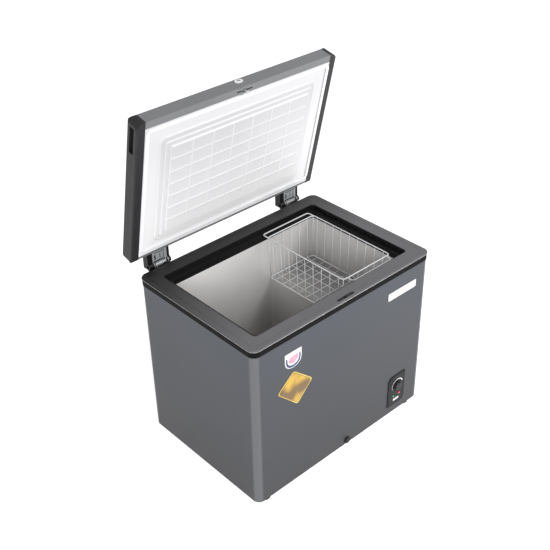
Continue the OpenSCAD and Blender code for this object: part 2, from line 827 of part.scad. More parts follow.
module ribs() {
    z = face_z - panel_h - rib_h;
    for (i = [0:rib_rows - 1])
        translate([-rib_x, -rib_y + rib_gap * i - rib_w / 2, z]) cube([2 * rib_x, rib_w, rib_h + 0.4]);
    for (i = [1:rib_cols])
        translate([-rib_x + rib_pitch * i - rib_w / 2, -rib_y, z]) cube([rib_w, 2 * rib_y, rib_h + 0.4]);
}

module lid_liner() {
    lap = 2;
    on_lid() color([0.93, 0.93, 0.94]) difference() {
        union() {
            translate([-cap_in, lid_y0 + hem_w - lap, face_z])
                cube([2 * cap_in, lid_l - hem_w - hem_back + 2 * lap, sheet_t]);
            difference() {
                panel_stack(0);
                panel_stack(sheet_t);
            }
            ribs();
        }
        translate([0, 0, face_z - 0.5]) rblock(panel_w - 2 * sheet_t, panel_d - 2 * sheet_t,
            panel_r - sheet_t, sheet_t + 1);
    }
}

gasket_front = hem_w + gasket_w / 2 + 1;
gasket_back = 34;
gasket_gap = lid_gap - sheet_t - touch;

module lid_gasket() {
    on_lid() color([0.95, 0.95, 0.95])
        translate([0, lid_mid + (gasket_front - gasket_back) / 2, face_z])
            sweep_rrect(2 * (cap_in - 8), lid_l - gasket_front - gasket_back, 14) {
                translate([-gasket_w / 2, -gasket_gap]) square([gasket_w, gasket_gap - 1.5]);
                translate([-gasket_w / 2 + 3, -1.5]) square([gasket_w - 6, 1.5]);
            }
}

// end cap outline in the plane across the lid; x points outward, y up
module cap_section() {
    polygon([[cap_in, lid_z], [cap_x - 6, lid_z], [cap_x - 2, lid_z + 1.5], [cap_x, ridge_z - 2],
        [cap_x, ridge_z + 1], [cap_x - 2.5, ridge_z + 7], [cap_x - 3, cap_top - 9],
        [cap_x - 5.5, cap_top - 3], [cap_x - 10, cap_top], [cap_in, cap_top]]);
}

module cap_body() {
    y0 = lid_y0 - cap_over;
    len = cap_back - y0;
    difference() {
        intersection() {
            translate([0, cap_back, 0]) rotate([90, 0, 0]) linear_extrude(height = len) cap_section();
            // outline from above, round at the front corner
            translate([0, 0, lid_z - 1]) linear_extrude(height = lid_t + 10) {
                translate([cap_in, y0 + cap_r]) square([cap_w, len - cap_r]);
                translate([cap_in, y0]) square([cap_w - cap_r, len]);
                translate([cap_x - cap_r, y0 + cap_r]) circle(r = cap_r);
            }
            // outline from the side, round at both upper corners
            cheek(cap_in - 1, cap_w + 2) {
                translate([y0, lid_z]) square([len, cap_top - lid_z - cap_round]);
                translate([y0 + cap_round, lid_z]) square([len - 2 * cap_round, cap_top - lid_z]);
                for (y = [y0 + cap_round, cap_back - cap_round]) translate([y, cap_top - cap_round])
                    circle(r = cap_round);
            }
        }
        // finger grip, undercut at its upper edge
        translate([cap_x - grip_deep, y0 + 30, ridge_z + 12]) cube([grip_deep + 1, grip_l, grip_h]);
        translate([cap_x - grip_deep, y0 + 30, ridge_z + 12 + grip_h - 4])
            cube([grip_deep - 8, grip_l, 10]);
    }
}

module lid_cap_right() {
    on_lid() color([0.24, 0.24, 0.25]) cap_body();
}

module lid_cap_left() {
    on_lid() color([0.24, 0.24, 0.25]) mirror([1, 0, 0]) cap_body();
}

// ---------------------------------------------------------------- lock

lock_z = lid_z + lock_up;
slit_y = front_y + slot_in;
disc_r = crank_r + 4;
disc_t = 2.5;
pin_crank_r = 2;
yoke_w = 2 * (pin_crank_r + 0.6);
throw = crank_r * sqrt(2);
case_t = 2.4;
hook_room = hook_t + 2 * touch;
case_w = slot_l + 2 * case_t + 2;
case_y0 = slit_y - hook_room / 2 - disc_t - 2 * touch - case_t;
case_y1 = slit_y + head_w / 2 + head_fit + case_t;
case_top = lock_z + disc_r + touch + case_t;
case_bottom = lid_z + lid_skin_t;
stem_w = 9;
head_top = lid_gap + frame_t + 0.8;
head_t = 3;

module case_space() {
    translate([lock_x - case_w / 2, case_y0, lid_z])
        cube([case_w, case_y1 - case_y0, case_top - lid_z]);
}

// chrome oval round the key cylinder, with its sleeve through the lid's front
module lock_bezel() {
    on_lid() color([0.85, 0.85, 0.86]) translate([lock_x, lid_y0, lock_z]) difference() {
        union() {
            rotate([90, 0, 0]) linear_extrude(height = 2) {
                square([16, 20], center = true);
                for (s = [-1, 1]) translate([s * 8, 0]) circle(r = 10);
            }
            bar_y(lock_r + 2, case_y0 - lid_y0);
        }
        translate([0, -5, 0]) bar_y(lock_r + pin_fit, 30);
    }
}

// moulded box in the lid that guides the hook
module lock_case() {
    on_lid() color([0.2, 0.2, 0.21]) difference() {
        translate([lock_x - case_w / 2, case_y0, case_bottom])
            cube([case_w, case_y1 - case_y0, case_top - case_bottom]);
        // room for the hook and for the crank disc in front of it
        translate([lock_x - slot_l / 2 - 1, slit_y - hook_room / 2, case_bottom + case_t])
            cube([slot_l + 2, hook_room, case_top - case_bottom - 2 * case_t]);
        translate([lock_x, case_y0 + case_t, lock_z])
            bar_y(disc_r + touch, slit_y + hook_room / 2 - case_y0 - case_t);
        translate([lock_x, case_y0 - 1, lock_z]) bar_y(lock_r + 0.3, case_t + 2);
        slit_space(case_bottom - 1, case_t + 2);
    }
}

// key cylinder with a crank disc; the key way is upright when the lid is free
module lock_cylinder() {
    on_lid() color([0.78, 0.79, 0.8]) translate([lock_x, 0, lock_z]) {
        difference() {
            translate([0, lid_y0 - 3, 0]) bar_y(lock_r, case_y0 + case_t + touch - lid_y0 + 3);
            translate([-0.8, lid_y0 - 4, -4]) cube([1.6, 8, 8]);
        }
        translate([0, case_y0 + case_t + touch, 0]) bar_y(disc_r, disc_t);
        rotate([0, 45, 0]) translate([0, case_y0 + case_t + touch, -crank_r])
            bar_y(pin_crank_r, slit_y + hook_t / 2 - case_y0 - case_t - touch);
    }
}

// sheet steel hook, pushed sideways by the crank pin in its upright slot
module lock_hook() {
    yoke_x = lock_x - throw / 2;
    yoke_lo = lock_z - crank_r - pin_crank_r - 1;
    yoke_hi = lock_z - crank_r / sqrt(2) + pin_crank_r + 1;
    foot = case_bottom + case_t + touch;
    on_lid() color([0.6, 0.61, 0.62]) {
        translate([0, slit_y + hook_t / 2, 0]) rotate([90, 0, 0]) linear_extrude(height = hook_t)
            difference() {
                union() {
                    translate([yoke_x - 8, foot]) square([16, yoke_hi + 4 - foot]);
                    translate([yoke_x - 8, foot]) square([throw / 2 + 18, 10]);
                    translate([lock_x - stem_w / 2, lid_z - head_top - head_t])
                        square([stem_w, foot + 8 - lid_z + head_top + head_t]);
                }
                translate([yoke_x - yoke_w / 2, yoke_lo]) square([yoke_w, yoke_hi - yoke_lo]);
            }
        translate([lock_x - head_l / 2, slit_y - head_w / 2, lid_z - head_top - head_t])
            cube([head_l, head_w, head_t]);
    }
}

// ---------------------------------------------------------------- hinges

cover_t = 22;
cover_side = 10;
leaf_x0 = cover_t + 2 - hinge_w / 2;
leaf_x1 = hinge_w / 2 - cover_side - 2;
leaf_deep = 26;
leaf_nose = 12;
cover_deep = leaf_deep + plate_t + 1;
cover_clear = 2;

// front face of the cover and of the leaf's web, both upright while the lid is open
lid_to_pin = pin_back + lid_short;
cover_face = (pin_drop + cover_clear) * sin(lid_open) - (pin_back - frame_over) * cos(lid_open);
web_y = cover_face + 1;
web_z = leaf_nose + 2;
web_top = (lid_to_pin + web_y * cos(lid_open)) / sin(lid_open);
leaf_z = pin_z + (web_y + lid_to_pin * cos(lid_open)) / sin(lid_open);

module at_hinge(side) {
    translate([side * hinge_x, 0, 0]) children();
}

ear_r = 11;

// outline of a fixed ear: (depth, height)
module ear_outline() {
    polygon([[back_y, base_low + 6], [back_y + 16, base_low + 6], [pin_y + 9, base_top - 9],
        [pin_y + ear_r, pin_z], [pin_y - ear_r, pin_z], [back_y + frame_over + 3, pin_z - 2 * ear_r],
        [back_y + frame_over + 3, base_top + 2], [back_y, base_top]]);
    translate([pin_y, pin_z]) circle(r = ear_r);
}

module hinge_base(side) {
    placed() color([0.1, 0.1, 0.105]) at_hinge(side) difference() {
        union() {
            translate([-hinge_w / 2 + 8, back_y, base_low]) cube([hinge_w - 16, plate_t, hinge_h]);
            cheek(leaf_x0 + plate_t + 1.5, plate_t) ear_outline();
            cheek(leaf_x1 - 2 * plate_t - 1.5, plate_t) ear_outline();
        }
        translate([-60, pin_y, pin_z]) bar_x(pin_r, 120);
        for (x = base_screw_x, z = base_screw_z) translate([x, back_y - 1, z]) bar_y(screw_r, 12);
    }
}

module hinge_base_left() { hinge_base(-1); }
module hinge_base_right() { hinge_base(1); }

// box behind the lid that stands upright while the lid is open: from the pin (depth, height)
module upright(y, z, t) {
    intersection() {
        translate([pin_y, pin_z]) rotate(lid_open) translate([y, z]) square([t, 2 * lid_to_pin]);
        translate([lid_y1, pin_z - lid_to_pin]) square(2 * lid_to_pin);
    }
}

// cheek outline on the lid's side of the hinge, with a round nose about the pin
module lid_cheek(y0, y1) {
    upright(y0, -leaf_nose, y1 - y0);
    translate([pin_y, pin_z]) circle(r = leaf_nose);
}

// cuts through the leaf's web, from a side place, a height above the pin and a size
module web_cut(x, z, w, h) {
    cheek(x, w) translate([pin_y, pin_z]) rotate(lid_open) translate([web_y - 1, z])
        square([plate_t + 2, h]);
}

module hinge_leaf(side) {
    leaf_w = leaf_x1 - leaf_x0;
    on_lid() color([0.72, 0.73, 0.74]) at_hinge(side) difference() {
        union() {
            cheek(leaf_x0, plate_t) lid_cheek(web_y, leaf_deep);
            cheek(leaf_x1 - plate_t, plate_t) lid_cheek(web_y, leaf_deep);
            cheek(leaf_x0, leaf_w) upright(web_y, web_z, plate_t);
            // mounting plate on the lid's rear face
            translate([leaf_x0, lid_y1, leaf_z]) cube([leaf_w, plate_t, leaf_deep]);
        }
        translate([-hinge_w, pin_y, pin_z]) bar_x(pin_r + pin_fit, 2 * hinge_w);
        web_cut(leaf_x0 + 9, web_z + 4, 7, web_top - web_z - 22);
        for (x = [0.5, 0.75]) web_cut(leaf_x0 + leaf_w * x, web_z + 4, 4, web_top - web_z - 22);
        web_cut(leaf_x0 + 9, web_top - 12, leaf_w - 18, 4);
        for (x = [0.2, 0.5, 0.8]) translate([leaf_x0 + leaf_w * x, lid_y1 - 1, leaf_z + leaf_deep / 2])
            bar_y(screw_r, plate_t + 2);
    }
}

module hinge_leaf_left() { hinge_leaf(-1); }
module hinge_leaf_right() { hinge_leaf(1); }

// black plastic shroud on the lid's side of the hinge, with two cheeks and a back
module hinge_cover(side) {
    side_x = leaf_x1 + 0.5;
    on_lid() color([0.07, 0.07, 0.075]) at_hinge(side) difference() {
        union() {
            cheek(-hinge_w / 2, cover_t) lid_cheek(cover_face, cover_deep);
            cheek(side_x, cover_side) lid_cheek(cover_face, cover_deep);
            cheek(-hinge_w / 2, side_x + cover_side + hinge_w / 2)
                upright(cover_deep - plate_t, -leaf_nose, plate_t);
        }
        translate([-hinge_w, pin_y, pin_z]) bar_x(pin_r + 2, 2 * hinge_w);
    }
}

module hinge_cover_left() { hinge_cover(-1); }
module hinge_cover_right() { hinge_cover(1); }

module hinge_pins() {
    placed() color([0.8, 0.8, 0.82]) for (s = [-1, 1]) at_hinge(s) {
        translate([leaf_x0 - 5, pin_y, pin_z]) bar_x(pin_r, leaf_x1 - leaf_x0 + 10);
        translate([leaf_x1 + 5, pin_y, pin_z]) bar_x(pin_r + 1.5, 2.5);
    }
}

// torsion spring wound round the pin between the ears, one leg down on the base plate
spring_x0 = leaf_x0 + 2 * plate_t + 4;
spring_x1 = leaf_x1 - 2 * plate_t - 4;
spring_r = pin_r + spring_wire + 0.6;
spring_steps = 14;

// angle at which the fixed leg leaves the coil, and at which the lid's leg leaves it
down_tilt = 15;
up_tilt = 13;
leg_down = (pin_back - plate_t - spring_wire - touch - spring_r * cos(down_tilt)) / sin(down_tilt);
leg_up = (web_y - touch - spring_wire + spring_r * cos(up_tilt)) / sin(up_tilt);

// the wire's middle and the angle of its outer side, at step i of the coil and on both legs
function coil_angle(i) = 270 + down_tilt
    + (360 * spring_turns + up_tilt - down_tilt) * i / (spring_turns * spring_steps);

function coil_point(i) = [
    spring_x0 + spring_wire + (spring_x1 - spring_x0 - 2 * spring_wire) * i / (spring_turns * spring_steps),
    spring_r * sin(coil_angle(i)),
    spring_r * cos(coil_angle(i))];

function along(i, l) = coil_point(i) + l * [0, cos(coil_angle(i)), -sin(coil_angle(i))];

module spring() {
    n = spring_turns * spring_steps;
    side = 6;
    angles = concat([coil_angle(0)], [for (i = [0:n]) coil_angle(i)], [coil_angle(n)]);
    middles = concat([along(0, -leg_down)], [for (i = [0:n]) coil_point(i)], [along(n, leg_up)]);
    last = len(middles) - 1;
    pts = [for (i = [0:last], k = [0:side - 1])
        let (a = angles[i], b = 360 * k / side)
            middles[i] + spring_wire * [sin(b), cos(b) * sin(a), cos(b) * cos(a)]];
    quads = [for (i = [0:last - 1], k = [0:side - 1])
        [i * side + k, i * side + (k + 1) % side, (i + 1) * side + (k + 1) % side, (i + 1) * side + k]];
    polyhedron(points = pts, faces = concat(
        [for (q = quads) [q[0], q[1], q[2]]], [for (q = quads) [q[0], q[2], q[3]]],
        [for (k = [1:side - 2]) [0, k + 1, k]],
        [for (k = [1:side - 2]) [last * side, last * side + k, last * side + k + 1]]));
}

module hinge_springs() {
    placed() color([0.55, 0.56, 0.58]) for (s = [-1, 1]) at_hinge(s) translate([0, pin_y, pin_z]) spring();
}

// pan head screw whose head sits on the plane z = 0
module screw(r, l) {
    translate([0, 0, -l]) cylinder(r = r, h = l);
    rotate_extrude() polygon([[0, 0], [2 * r, 0], [1.7 * r, 1.6], [r, 2.2], [0, 2.2]]);
}

module hinge_screws() {
    placed() color([0.75, 0.75, 0.77]) at_base_screws() translate([0, plate_t, 0])
        rotate([-90, 0, 0]) screw(screw_r, 6);
}

// ---------------------------------------------------------------- wire basket

basket_x = open_w / 2 - 24 - basket_w / 2;
basket_z = rim_z - ledge_drop + wire_r + touch;
low_w = basket_w - 2 * basket_lean;
low_d = basket_d - 2 * basket_lean;
low_z = basket_z - basket_h;
hanger_w = basket_w - 44;
hanger_y = open_d / 2 + wire_r + touch;

// straight wire between two points
module wire(p, q, r) {
    d = q - p;
    l = norm(d);
    translate(p) rotate([0, acos(d[2] / l), atan2(d[1], d[0])]) hull() cylinder(r = r, h = l, $fn = 6);
}

// wire through a list of points, with a ball in each bend
module wire_run(points, r) {
    for (i = [0:len(points) - 2]) wire(points[i], points[i + 1], r);
    for (p = points) translate(p) sphere(r = r, $fn = 6);
}

module basket() {
    top = [for (c = [[-1, -1], [1, -1], [1, 1], [-1, 1], [-1, -1]])
        [c[0] * basket_w / 2, c[1] * basket_d / 2, basket_z]];
    low = [for (c = [[-1, -1], [1, -1], [1, 1], [-1, 1], [-1, -1]])
        [c[0] * low_w / 2, c[1] * low_d / 2, low_z]];
    side_n = floor(basket_d / wire_pitch / 2);
    end_n = floor(basket_w / wire_pitch / 2);
    mesh = 56;
    reach = (low_w + low_d) / 2;
    placed() color([0.9, 0.9, 0.91]) translate([basket_x, 0, 0]) {
        wire_run(top, wire_r);
        wire_run(low, wire_r);
        for (k = [0:3]) wire(top[k], low[k], wire_r);
        for (i = [-side_n:side_n], s = [-1, 1])
            wire([s * basket_w / 2, i * wire_pitch, basket_z],
                [s * low_w / 2, i * wire_pitch * low_d / basket_d, low_z], thin_r);
        for (i = [-end_n:end_n], s = [-1, 1])
            wire([i * wire_pitch, s * basket_d / 2, basket_z],
                [i * wire_pitch * low_w / basket_w, s * low_d / 2, low_z], thin_r);
        // crossed floor wires, cut to the floor's outline
        for (c = [mesh / 2 - reach:mesh:reach - mesh / 4]) {
            x0 = max(-low_w / 2, c - low_d / 2);
            x1 = min(low_w / 2, c + low_d / 2);
            wire([x0, x0 - c, low_z - thin_r], [x1, x1 - c, low_z - thin_r], thin_r);
            wire([x0, c - x0, low_z + thin_r * 0.7], [x1, c - x1, low_z + thin_r * 0.7], thin_r);
        }
        // hangers that rest on the ledge
        for (s = [-1, 1]) wire_run([[-hanger_w / 2, s * basket_d / 2, basket_z],
            [-hanger_w / 2 - 10, s * (hanger_y - 10), basket_z], [-hanger_w / 2, s * hanger_y, basket_z],
            [hanger_w / 2, s * hanger_y, basket_z], [hanger_w / 2 + 10, s * (hanger_y - 10), basket_z],
            [hanger_w / 2, s * basket_d / 2, basket_z]], wire_r);
    }
}

// ---------------------------------------------------------------- nodes

cabinet_shell();
base_pan();
foam();
inner_liner();
evaporator();
condenser();
top_frame();
breaker_strip();
trim_band();
bay_partition();
rear_cover();
side_grille();
compressor();
compressor_plate();
grommets();
start_relay();
filter_drier();
pipework();
cord_gland();
control_panel();
thermostat_body();
thermostat_dial();
green_lamp();
red_lamp();
drain_spout();
drain_plug();
feet();
foot_studs();
lid_skin();
lid_foam();
lid_liner();
lid_gasket();
lid_cap_left();
lid_cap_right();
lock_bezel();
lock_case();
lock_cylinder();
lock_hook();
hinge_base_left();
hinge_base_right();
hinge_leaf_left();
hinge_leaf_right();
hinge_cover_left();
hinge_cover_right();
hinge_pins();
hinge_springs();
hinge_screws();
basket();
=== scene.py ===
"""Chest freezer with its lid standing open: finishes, fine shapes, light and camera."""
import json
import math
import bpy
from mathutils import Matrix, Vector


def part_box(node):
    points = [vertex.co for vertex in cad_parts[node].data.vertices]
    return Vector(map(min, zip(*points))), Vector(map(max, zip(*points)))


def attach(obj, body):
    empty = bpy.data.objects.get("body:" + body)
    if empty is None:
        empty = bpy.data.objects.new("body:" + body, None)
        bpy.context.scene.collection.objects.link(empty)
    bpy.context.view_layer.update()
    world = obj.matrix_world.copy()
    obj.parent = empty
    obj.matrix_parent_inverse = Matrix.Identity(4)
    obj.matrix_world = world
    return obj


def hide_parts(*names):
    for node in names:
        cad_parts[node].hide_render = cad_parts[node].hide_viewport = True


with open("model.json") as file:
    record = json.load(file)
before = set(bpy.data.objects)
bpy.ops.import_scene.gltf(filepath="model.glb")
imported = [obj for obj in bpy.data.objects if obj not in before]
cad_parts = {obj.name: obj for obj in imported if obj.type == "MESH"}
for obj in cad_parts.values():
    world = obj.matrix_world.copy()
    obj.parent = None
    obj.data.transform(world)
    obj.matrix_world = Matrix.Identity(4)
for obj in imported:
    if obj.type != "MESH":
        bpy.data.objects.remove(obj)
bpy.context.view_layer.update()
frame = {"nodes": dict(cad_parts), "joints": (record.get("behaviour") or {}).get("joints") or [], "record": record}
MM = 0.001

# ---------------------------------------------------------------- camera

CAM_AZIMUTH = -42.22
CAM_ELEVATION = 33.67
CAM_ROLL = -1.06
CAM_DISTANCE = 3.9956
CAM_LENS = 61.4
# The camera looks at this point, measured from the middle of the cabinet.
CAM_AIM = (0.1753, 0.2617, 0.4905)

shell_low, shell_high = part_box("cabinet_shell")
cabinet_y = (shell_low.y + shell_high.y) / 2


def make_camera():
    az, el, roll = (math.radians(a) for a in (CAM_AZIMUTH, CAM_ELEVATION, CAM_ROLL))
    back = Vector((math.sin(az) * math.cos(el), -math.cos(az) * math.cos(el), math.sin(el)))
    side = Vector((math.cos(az), math.sin(az), 0))
    up = back.cross(side)
    right = side * math.cos(roll) + up * math.sin(roll)
    top = back.cross(right)
    aim = Vector(CAM_AIM) + Vector((0, cabinet_y, 0))
    place = aim + back * CAM_DISTANCE
    data = bpy.data.cameras.new("camera")
    data.lens = CAM_LENS
    data.sensor_width = 36
    data.clip_end = 50
    cam = bpy.data.objects.new("camera", data)
    bpy.context.scene.collection.objects.link(cam)
    cam.matrix_world = Matrix((
        (right.x, top.x, back.x, place.x),
        (right.y, top.y, back.y, place.y),
        (right.z, top.z, back.z, place.z),
        (0, 0, 0, 1)))
    bpy.context.scene.camera = cam


make_camera()

# ---------------------------------------------------------------- materials

# height over which the painted shade of the cabinet fades out towards the top
LOW_SHADE_FADE = 0.7
# turn of an upright corner at which its painted highlight is full
CORNER_HIGHLIGHT_TURN = 0.3


def srgb(r, g, b):
    """Linear colour of an sRGB triple given from 0 to 255."""
    def lin(v):
        v /= 255
        return v / 12.92 if v <= 0.04045 else ((v + 0.055) / 1.055) ** 2.4
    return (lin(r), lin(g), lin(b), 1)


def tint(colour, factor):
    return (colour[0] * factor, colour[1] * factor, colour[2] * factor, 1)


class Nodes:
    """A small helper that adds shader nodes to one material."""

    def __init__(self, name):
        self.mat = bpy.data.materials.new(name)
        self.mat.use_nodes = True
        self.tree = self.mat.node_tree
        self.bsdf = self.tree.nodes["Principled BSDF"]
        places = self.tree.nodes.new("ShaderNodeTexCoord")
        self.coord = places.outputs["Object"]
        self.normal = places.outputs["Normal"]

    def add(self, kind, **values):
        node = self.tree.nodes.new(kind)
        for key, value in values.items():
            if key in node.inputs:
                node.inputs[key].default_value = value
            else:
                setattr(node, key, value)
        return node

    def link(self, a, b):
        self.tree.links.new(a, b)

    def noise(self, scale, detail=3, stretch=(1, 1, 1)):
        mapping = self.add("ShaderNodeMapping", Scale=stretch)
        self.link(self.coord, mapping.inputs["Vector"])
        node = self.add("ShaderNodeTexNoise", Scale=scale, Detail=detail, Roughness=0.5)
        self.link(mapping.outputs["Vector"], node.inputs["Vector"])
        return node.outputs["Fac"]

    def ramp(self, fac, stops):
        node = self.add("ShaderNodeValToRGB")
        ramp = node.color_ramp
        while len(ramp.elements) < len(stops):
            ramp.elements.new(0.5)
        for element, (place, colour) in zip(ramp.elements, stops):
            element.position = place
            element.color = colour
        self.link(fac, node.inputs["Fac"])
        return node.outputs["Color"]

    def mottle(self, fac, colour, low, high):
        """One colour that drifts between two strengths."""
        return self.ramp(fac, [(0.3, tint(colour, low)), (0.7, tint(colour, high))])

    def remap(self, value, start, end, low=0.0, high=1.0):
        """Number that runs from low to high while the value runs from start to end."""
        node = self.add("ShaderNodeMapRange")
        for name, number in (("From Min", start), ("From Max", end), ("To Min", low), ("To Max", high)):
            node.inputs[name].default_value = number
        self.link(value, node.inputs["Value"])
        return node.outputs["Result"]

    def axes(self, vector):
        """Sockets X, Y and Z of a vector."""
        node = self.add("ShaderNodeSeparateXYZ")
        self.link(vector, node.inputs["Vector"])
        return node.outputs

    def calc(self, operation, a, b=None):
        """Result of a sum on sockets or plain numbers."""
        node = self.add("ShaderNodeMath", operation=operation)
        for socket, value in zip(node.inputs, (a, b)):
            if isinstance(value, (int, float)):
                socket.default_value = value
            elif value is not None:
                self.link(value, socket)
        return node.outputs["Value"]

    def blend(self, fac, low, high):
        """Colour that runs from one socket or colour to another."""
        node = self.add("ShaderNodeMix", data_type="RGBA")
        self.link(fac, node.inputs["Factor"])
        for socket, value in ((node.inputs[6], low), (node.inputs[7], high)):
            if isinstance(value, tuple):
                socket.default_value = value
            else:
                self.link(value, socket)
        return node.outputs[2]

    def bump(self, height, strength, distance, normal=None):
        node = self.add("ShaderNodeBump", Strength=strength, Distance=distance)
        self.link(height, node.inputs["Height"])
        if normal is not None:
            self.link(normal, node.inputs["Normal"])
        return node.outputs["Normal"]

    def base(self, colour):
        self.link(colour, self.bsdf.inputs["Base Color"])

    def roughness(self, fac, low, high):
        self.link(self.remap(fac, 0.0, 1.0, low, high), self.bsdf.inputs["Roughness"])

    def finish(self, normal=None, **values):
        for key, value in values.items():
            self.bsdf.inputs[key.replace("_", " ")].default_value = value
        if normal is not None:
            self.link(normal, self.bsdf.inputs["Normal"])
        return self.mat


def painted(name, colour, rough=0.38, grain=0.06, painted_corner_highlight=None, painted_low_shade=None):
    """Sprayed paint on sheet steel: fine orange peel and a slow drift of tone.

    A painted highlight colour lies on upright round corners. A painted shade colour darkens the paint towards the
    floor.
    """
    n = Nodes(name)
    tone = n.mottle(n.noise(2.3, 2), colour, 0.95, 1.05)
    if painted_low_shade:
        # painted shade: the colour darkens towards the floor
        tone = n.blend(n.remap(n.axes(n.coord)["Z"], 0.0, LOW_SHADE_FADE), painted_low_shade, tone)
    # painted highlight: corners that turn between front and side get a paler colour
    if painted_corner_highlight:
        normal = n.axes(n.normal)
        turn = n.calc("ABSOLUTE", n.calc("MULTIPLY", normal["X"], normal["Y"]))
        tone = n.blend(n.remap(turn, 0.0, CORNER_HIGHLIGHT_TURN), tone, painted_corner_highlight)
    n.base(tone)
    n.roughness(n.noise(9, 3), rough - 0.03, rough + 0.05)
    peel = n.bump(n.noise(900, 2), grain, 0.0004)
    return n.finish(peel, Specular_IOR_Level=0.28, Coat_Weight=0.05, Coat_Roughness=0.25)


def moulded(name, colour, rough=0.5, grain=0.25, shine=0.5):
    """Injection-moulded plastic with a fine spark-eroded grain."""
    n = Nodes(name)
    n.base(n.mottle(n.noise(5, 2), colour, 0.96, 1.04))
    n.roughness(n.noise(30, 3), rough - 0.05, rough + 0.06)
    return n.finish(n.bump(n.noise(1500, 2), grain, 0.0002), Specular_IOR_Level=shine)


def frame_with_painted_shade(name, dark, light, reach, side_share=0.45):
    """Moulding with painted shade: paler towards the front right corner and darker at the rear."""
    n = Nodes(name)
    place = n.axes(n.coord)
    both = n.calc("SUBTRACT", n.calc("MULTIPLY", place["X"], side_share / reach[0]),
                  n.calc("MULTIPLY", place["Y"], 1 / reach[1]))
    n.base(n.ramp(n.remap(both, -1.0, 1.0), [(0.05, dark), (0.75, light)]))
    n.roughness(n.noise(30, 3), 0.38, 0.48)
    return n.finish(n.bump(n.noise(1500, 2), 0.1, 0.0002))


def white_sheet(name, colour):
    """Vacuum-formed white sheet: glossy, with a slight waviness."""
    n = Nodes(name)
    n.base(n.mottle(n.noise(4, 2), colour, 0.98, 1.01))
    n.roughness(n.noise(18, 3), 0.26, 0.36)
    wave = n.bump(n.noise(24, 1), 0.05, 0.002)
    return n.finish(n.bump(n.noise(1200, 2), 0.06, 0.0002, wave), Subsurface_Weight=0.05,
                    Subsurface_Scale=0.004)


def sheet_with_painted_highlights(name, ground, raised, pale, heights):
    """Vacuum-formed white sheet with painted highlights on its ribs and steps, and painted light that makes it
    paler towards the hinge.
    """
    n = Nodes(name)
    relief_highlight = n.add("ShaderNodeAttribute", attribute_name="relief_highlight").outputs["Fac"]
    # painted highlight: the raised colour lies where the attribute marks ribs, steps and flange
    tone = n.blend(relief_highlight, n.mottle(n.noise(4, 2), ground, 0.98, 1.02), raised)
    # painted light: the sheet grows paler towards the hinge
    drop = n.remap(n.axes(n.coord)["Z"], *heights)
    n.base(n.blend(n.calc("MULTIPLY", drop, 0.8), tone, pale))
    n.roughness(n.noise(18, 3), 0.3, 0.4)
    return n.finish(n.bump(n.noise(1200, 2), 0.06, 0.0002), Specular_IOR_Level=0.3)


def stucco(name, colour, depth):
    """Stucco-embossed aluminium sheet with painted shade: darker towards the bottom of the well and the right, and
    on level faces.
    """
    n = Nodes(name)
    tone = n.mottle(n.noise(3, 2), colour, 0.96, 1.04)
    place = n.axes(n.coord)
    height = n.calc("SUBTRACT", place["Z"], n.calc("MULTIPLY", place["X"], 0.5))
    # painted shade: darker deeper in the well and further right
    tone = n.blend(n.remap(height, *depth), tint(colour, 0.42), tone)
    # painted shade on faces that look up
    n.base(n.blend(n.remap(n.axes(n.normal)["Z"], 0.0, 1.0), tone, tint(colour, 0.3)))
    n.roughness(n.noise(60, 3), 0.29, 0.42)
    cells = n.add("ShaderNodeTexVoronoi", Scale=230)
    n.link(n.coord, cells.inputs["Vector"])
    emboss = n.bump(cells.outputs["Distance"], 0.25, 0.0006)
    return n.finish(n.bump(n.noise(14, 2), 0.05, 0.004, emboss), Metallic=0.3)


def plated(name, colour, rough=0.3, streak=(1, 1, 30), metallic=1.0):
    """Bright plated or brushed metal with faint streaks."""
    n = Nodes(name)
    n.base(n.mottle(n.noise(40, 3, streak), colour, 0.9, 1.08))
    n.roughness(n.noise(120, 3, streak), rough - 0.06, rough + 0.1)
    return n.finish(n.bump(n.noise(500, 2, streak), 0.08, 0.0002), Metallic=metallic)


def rubbery(name, colour, rough=0.6):
    """Soft rubber or vinyl."""
    n = Nodes(name)
    n.base(n.mottle(n.noise(12, 3), colour, 0.93, 1.05))
    n.roughness(n.noise(50, 3), rough - 0.06, rough + 0.08)
    return n.finish(n.bump(n.noise(900, 3), 0.15, 0.0003))


def foamy(name, colour):
    """Rigid polyurethane foam."""
    n = Nodes(name)
    n.base(n.mottle(n.noise(60, 4), colour, 0.85, 1.1))
    return n.finish(n.bump(n.noise(300, 4), 0.5, 0.001), Roughness=0.9)


def printed(name, dark, light):
    """Printed film with a slow change of tone across the label."""
    n = Nodes(name)
    n.base(n.ramp(n.noise(14, 1), [(0.38, dark), (0.62, light)]))
    n.roughness(n.noise(60, 2), 0.28, 0.36)
    return n.finish(n.bump(n.noise(700, 2), 0.04, 0.0002), Coat_Weight=0.3)


def lens_like(name, colour, glow):
    """Coloured glossy lamp cap with a faint glow."""
    n = Nodes(name)
    n.base(n.ramp(n.noise(300, 2), [(0.35, tint(colour, 0.7)), (0.65, tint(colour, 1.25))]))
    return n.finish(n.bump(n.noise(700, 1), 0.2, 0.0004), Roughness=0.15, Coat_Weight=0.6,
                    Emission_Color=colour, Emission_Strength=glow)


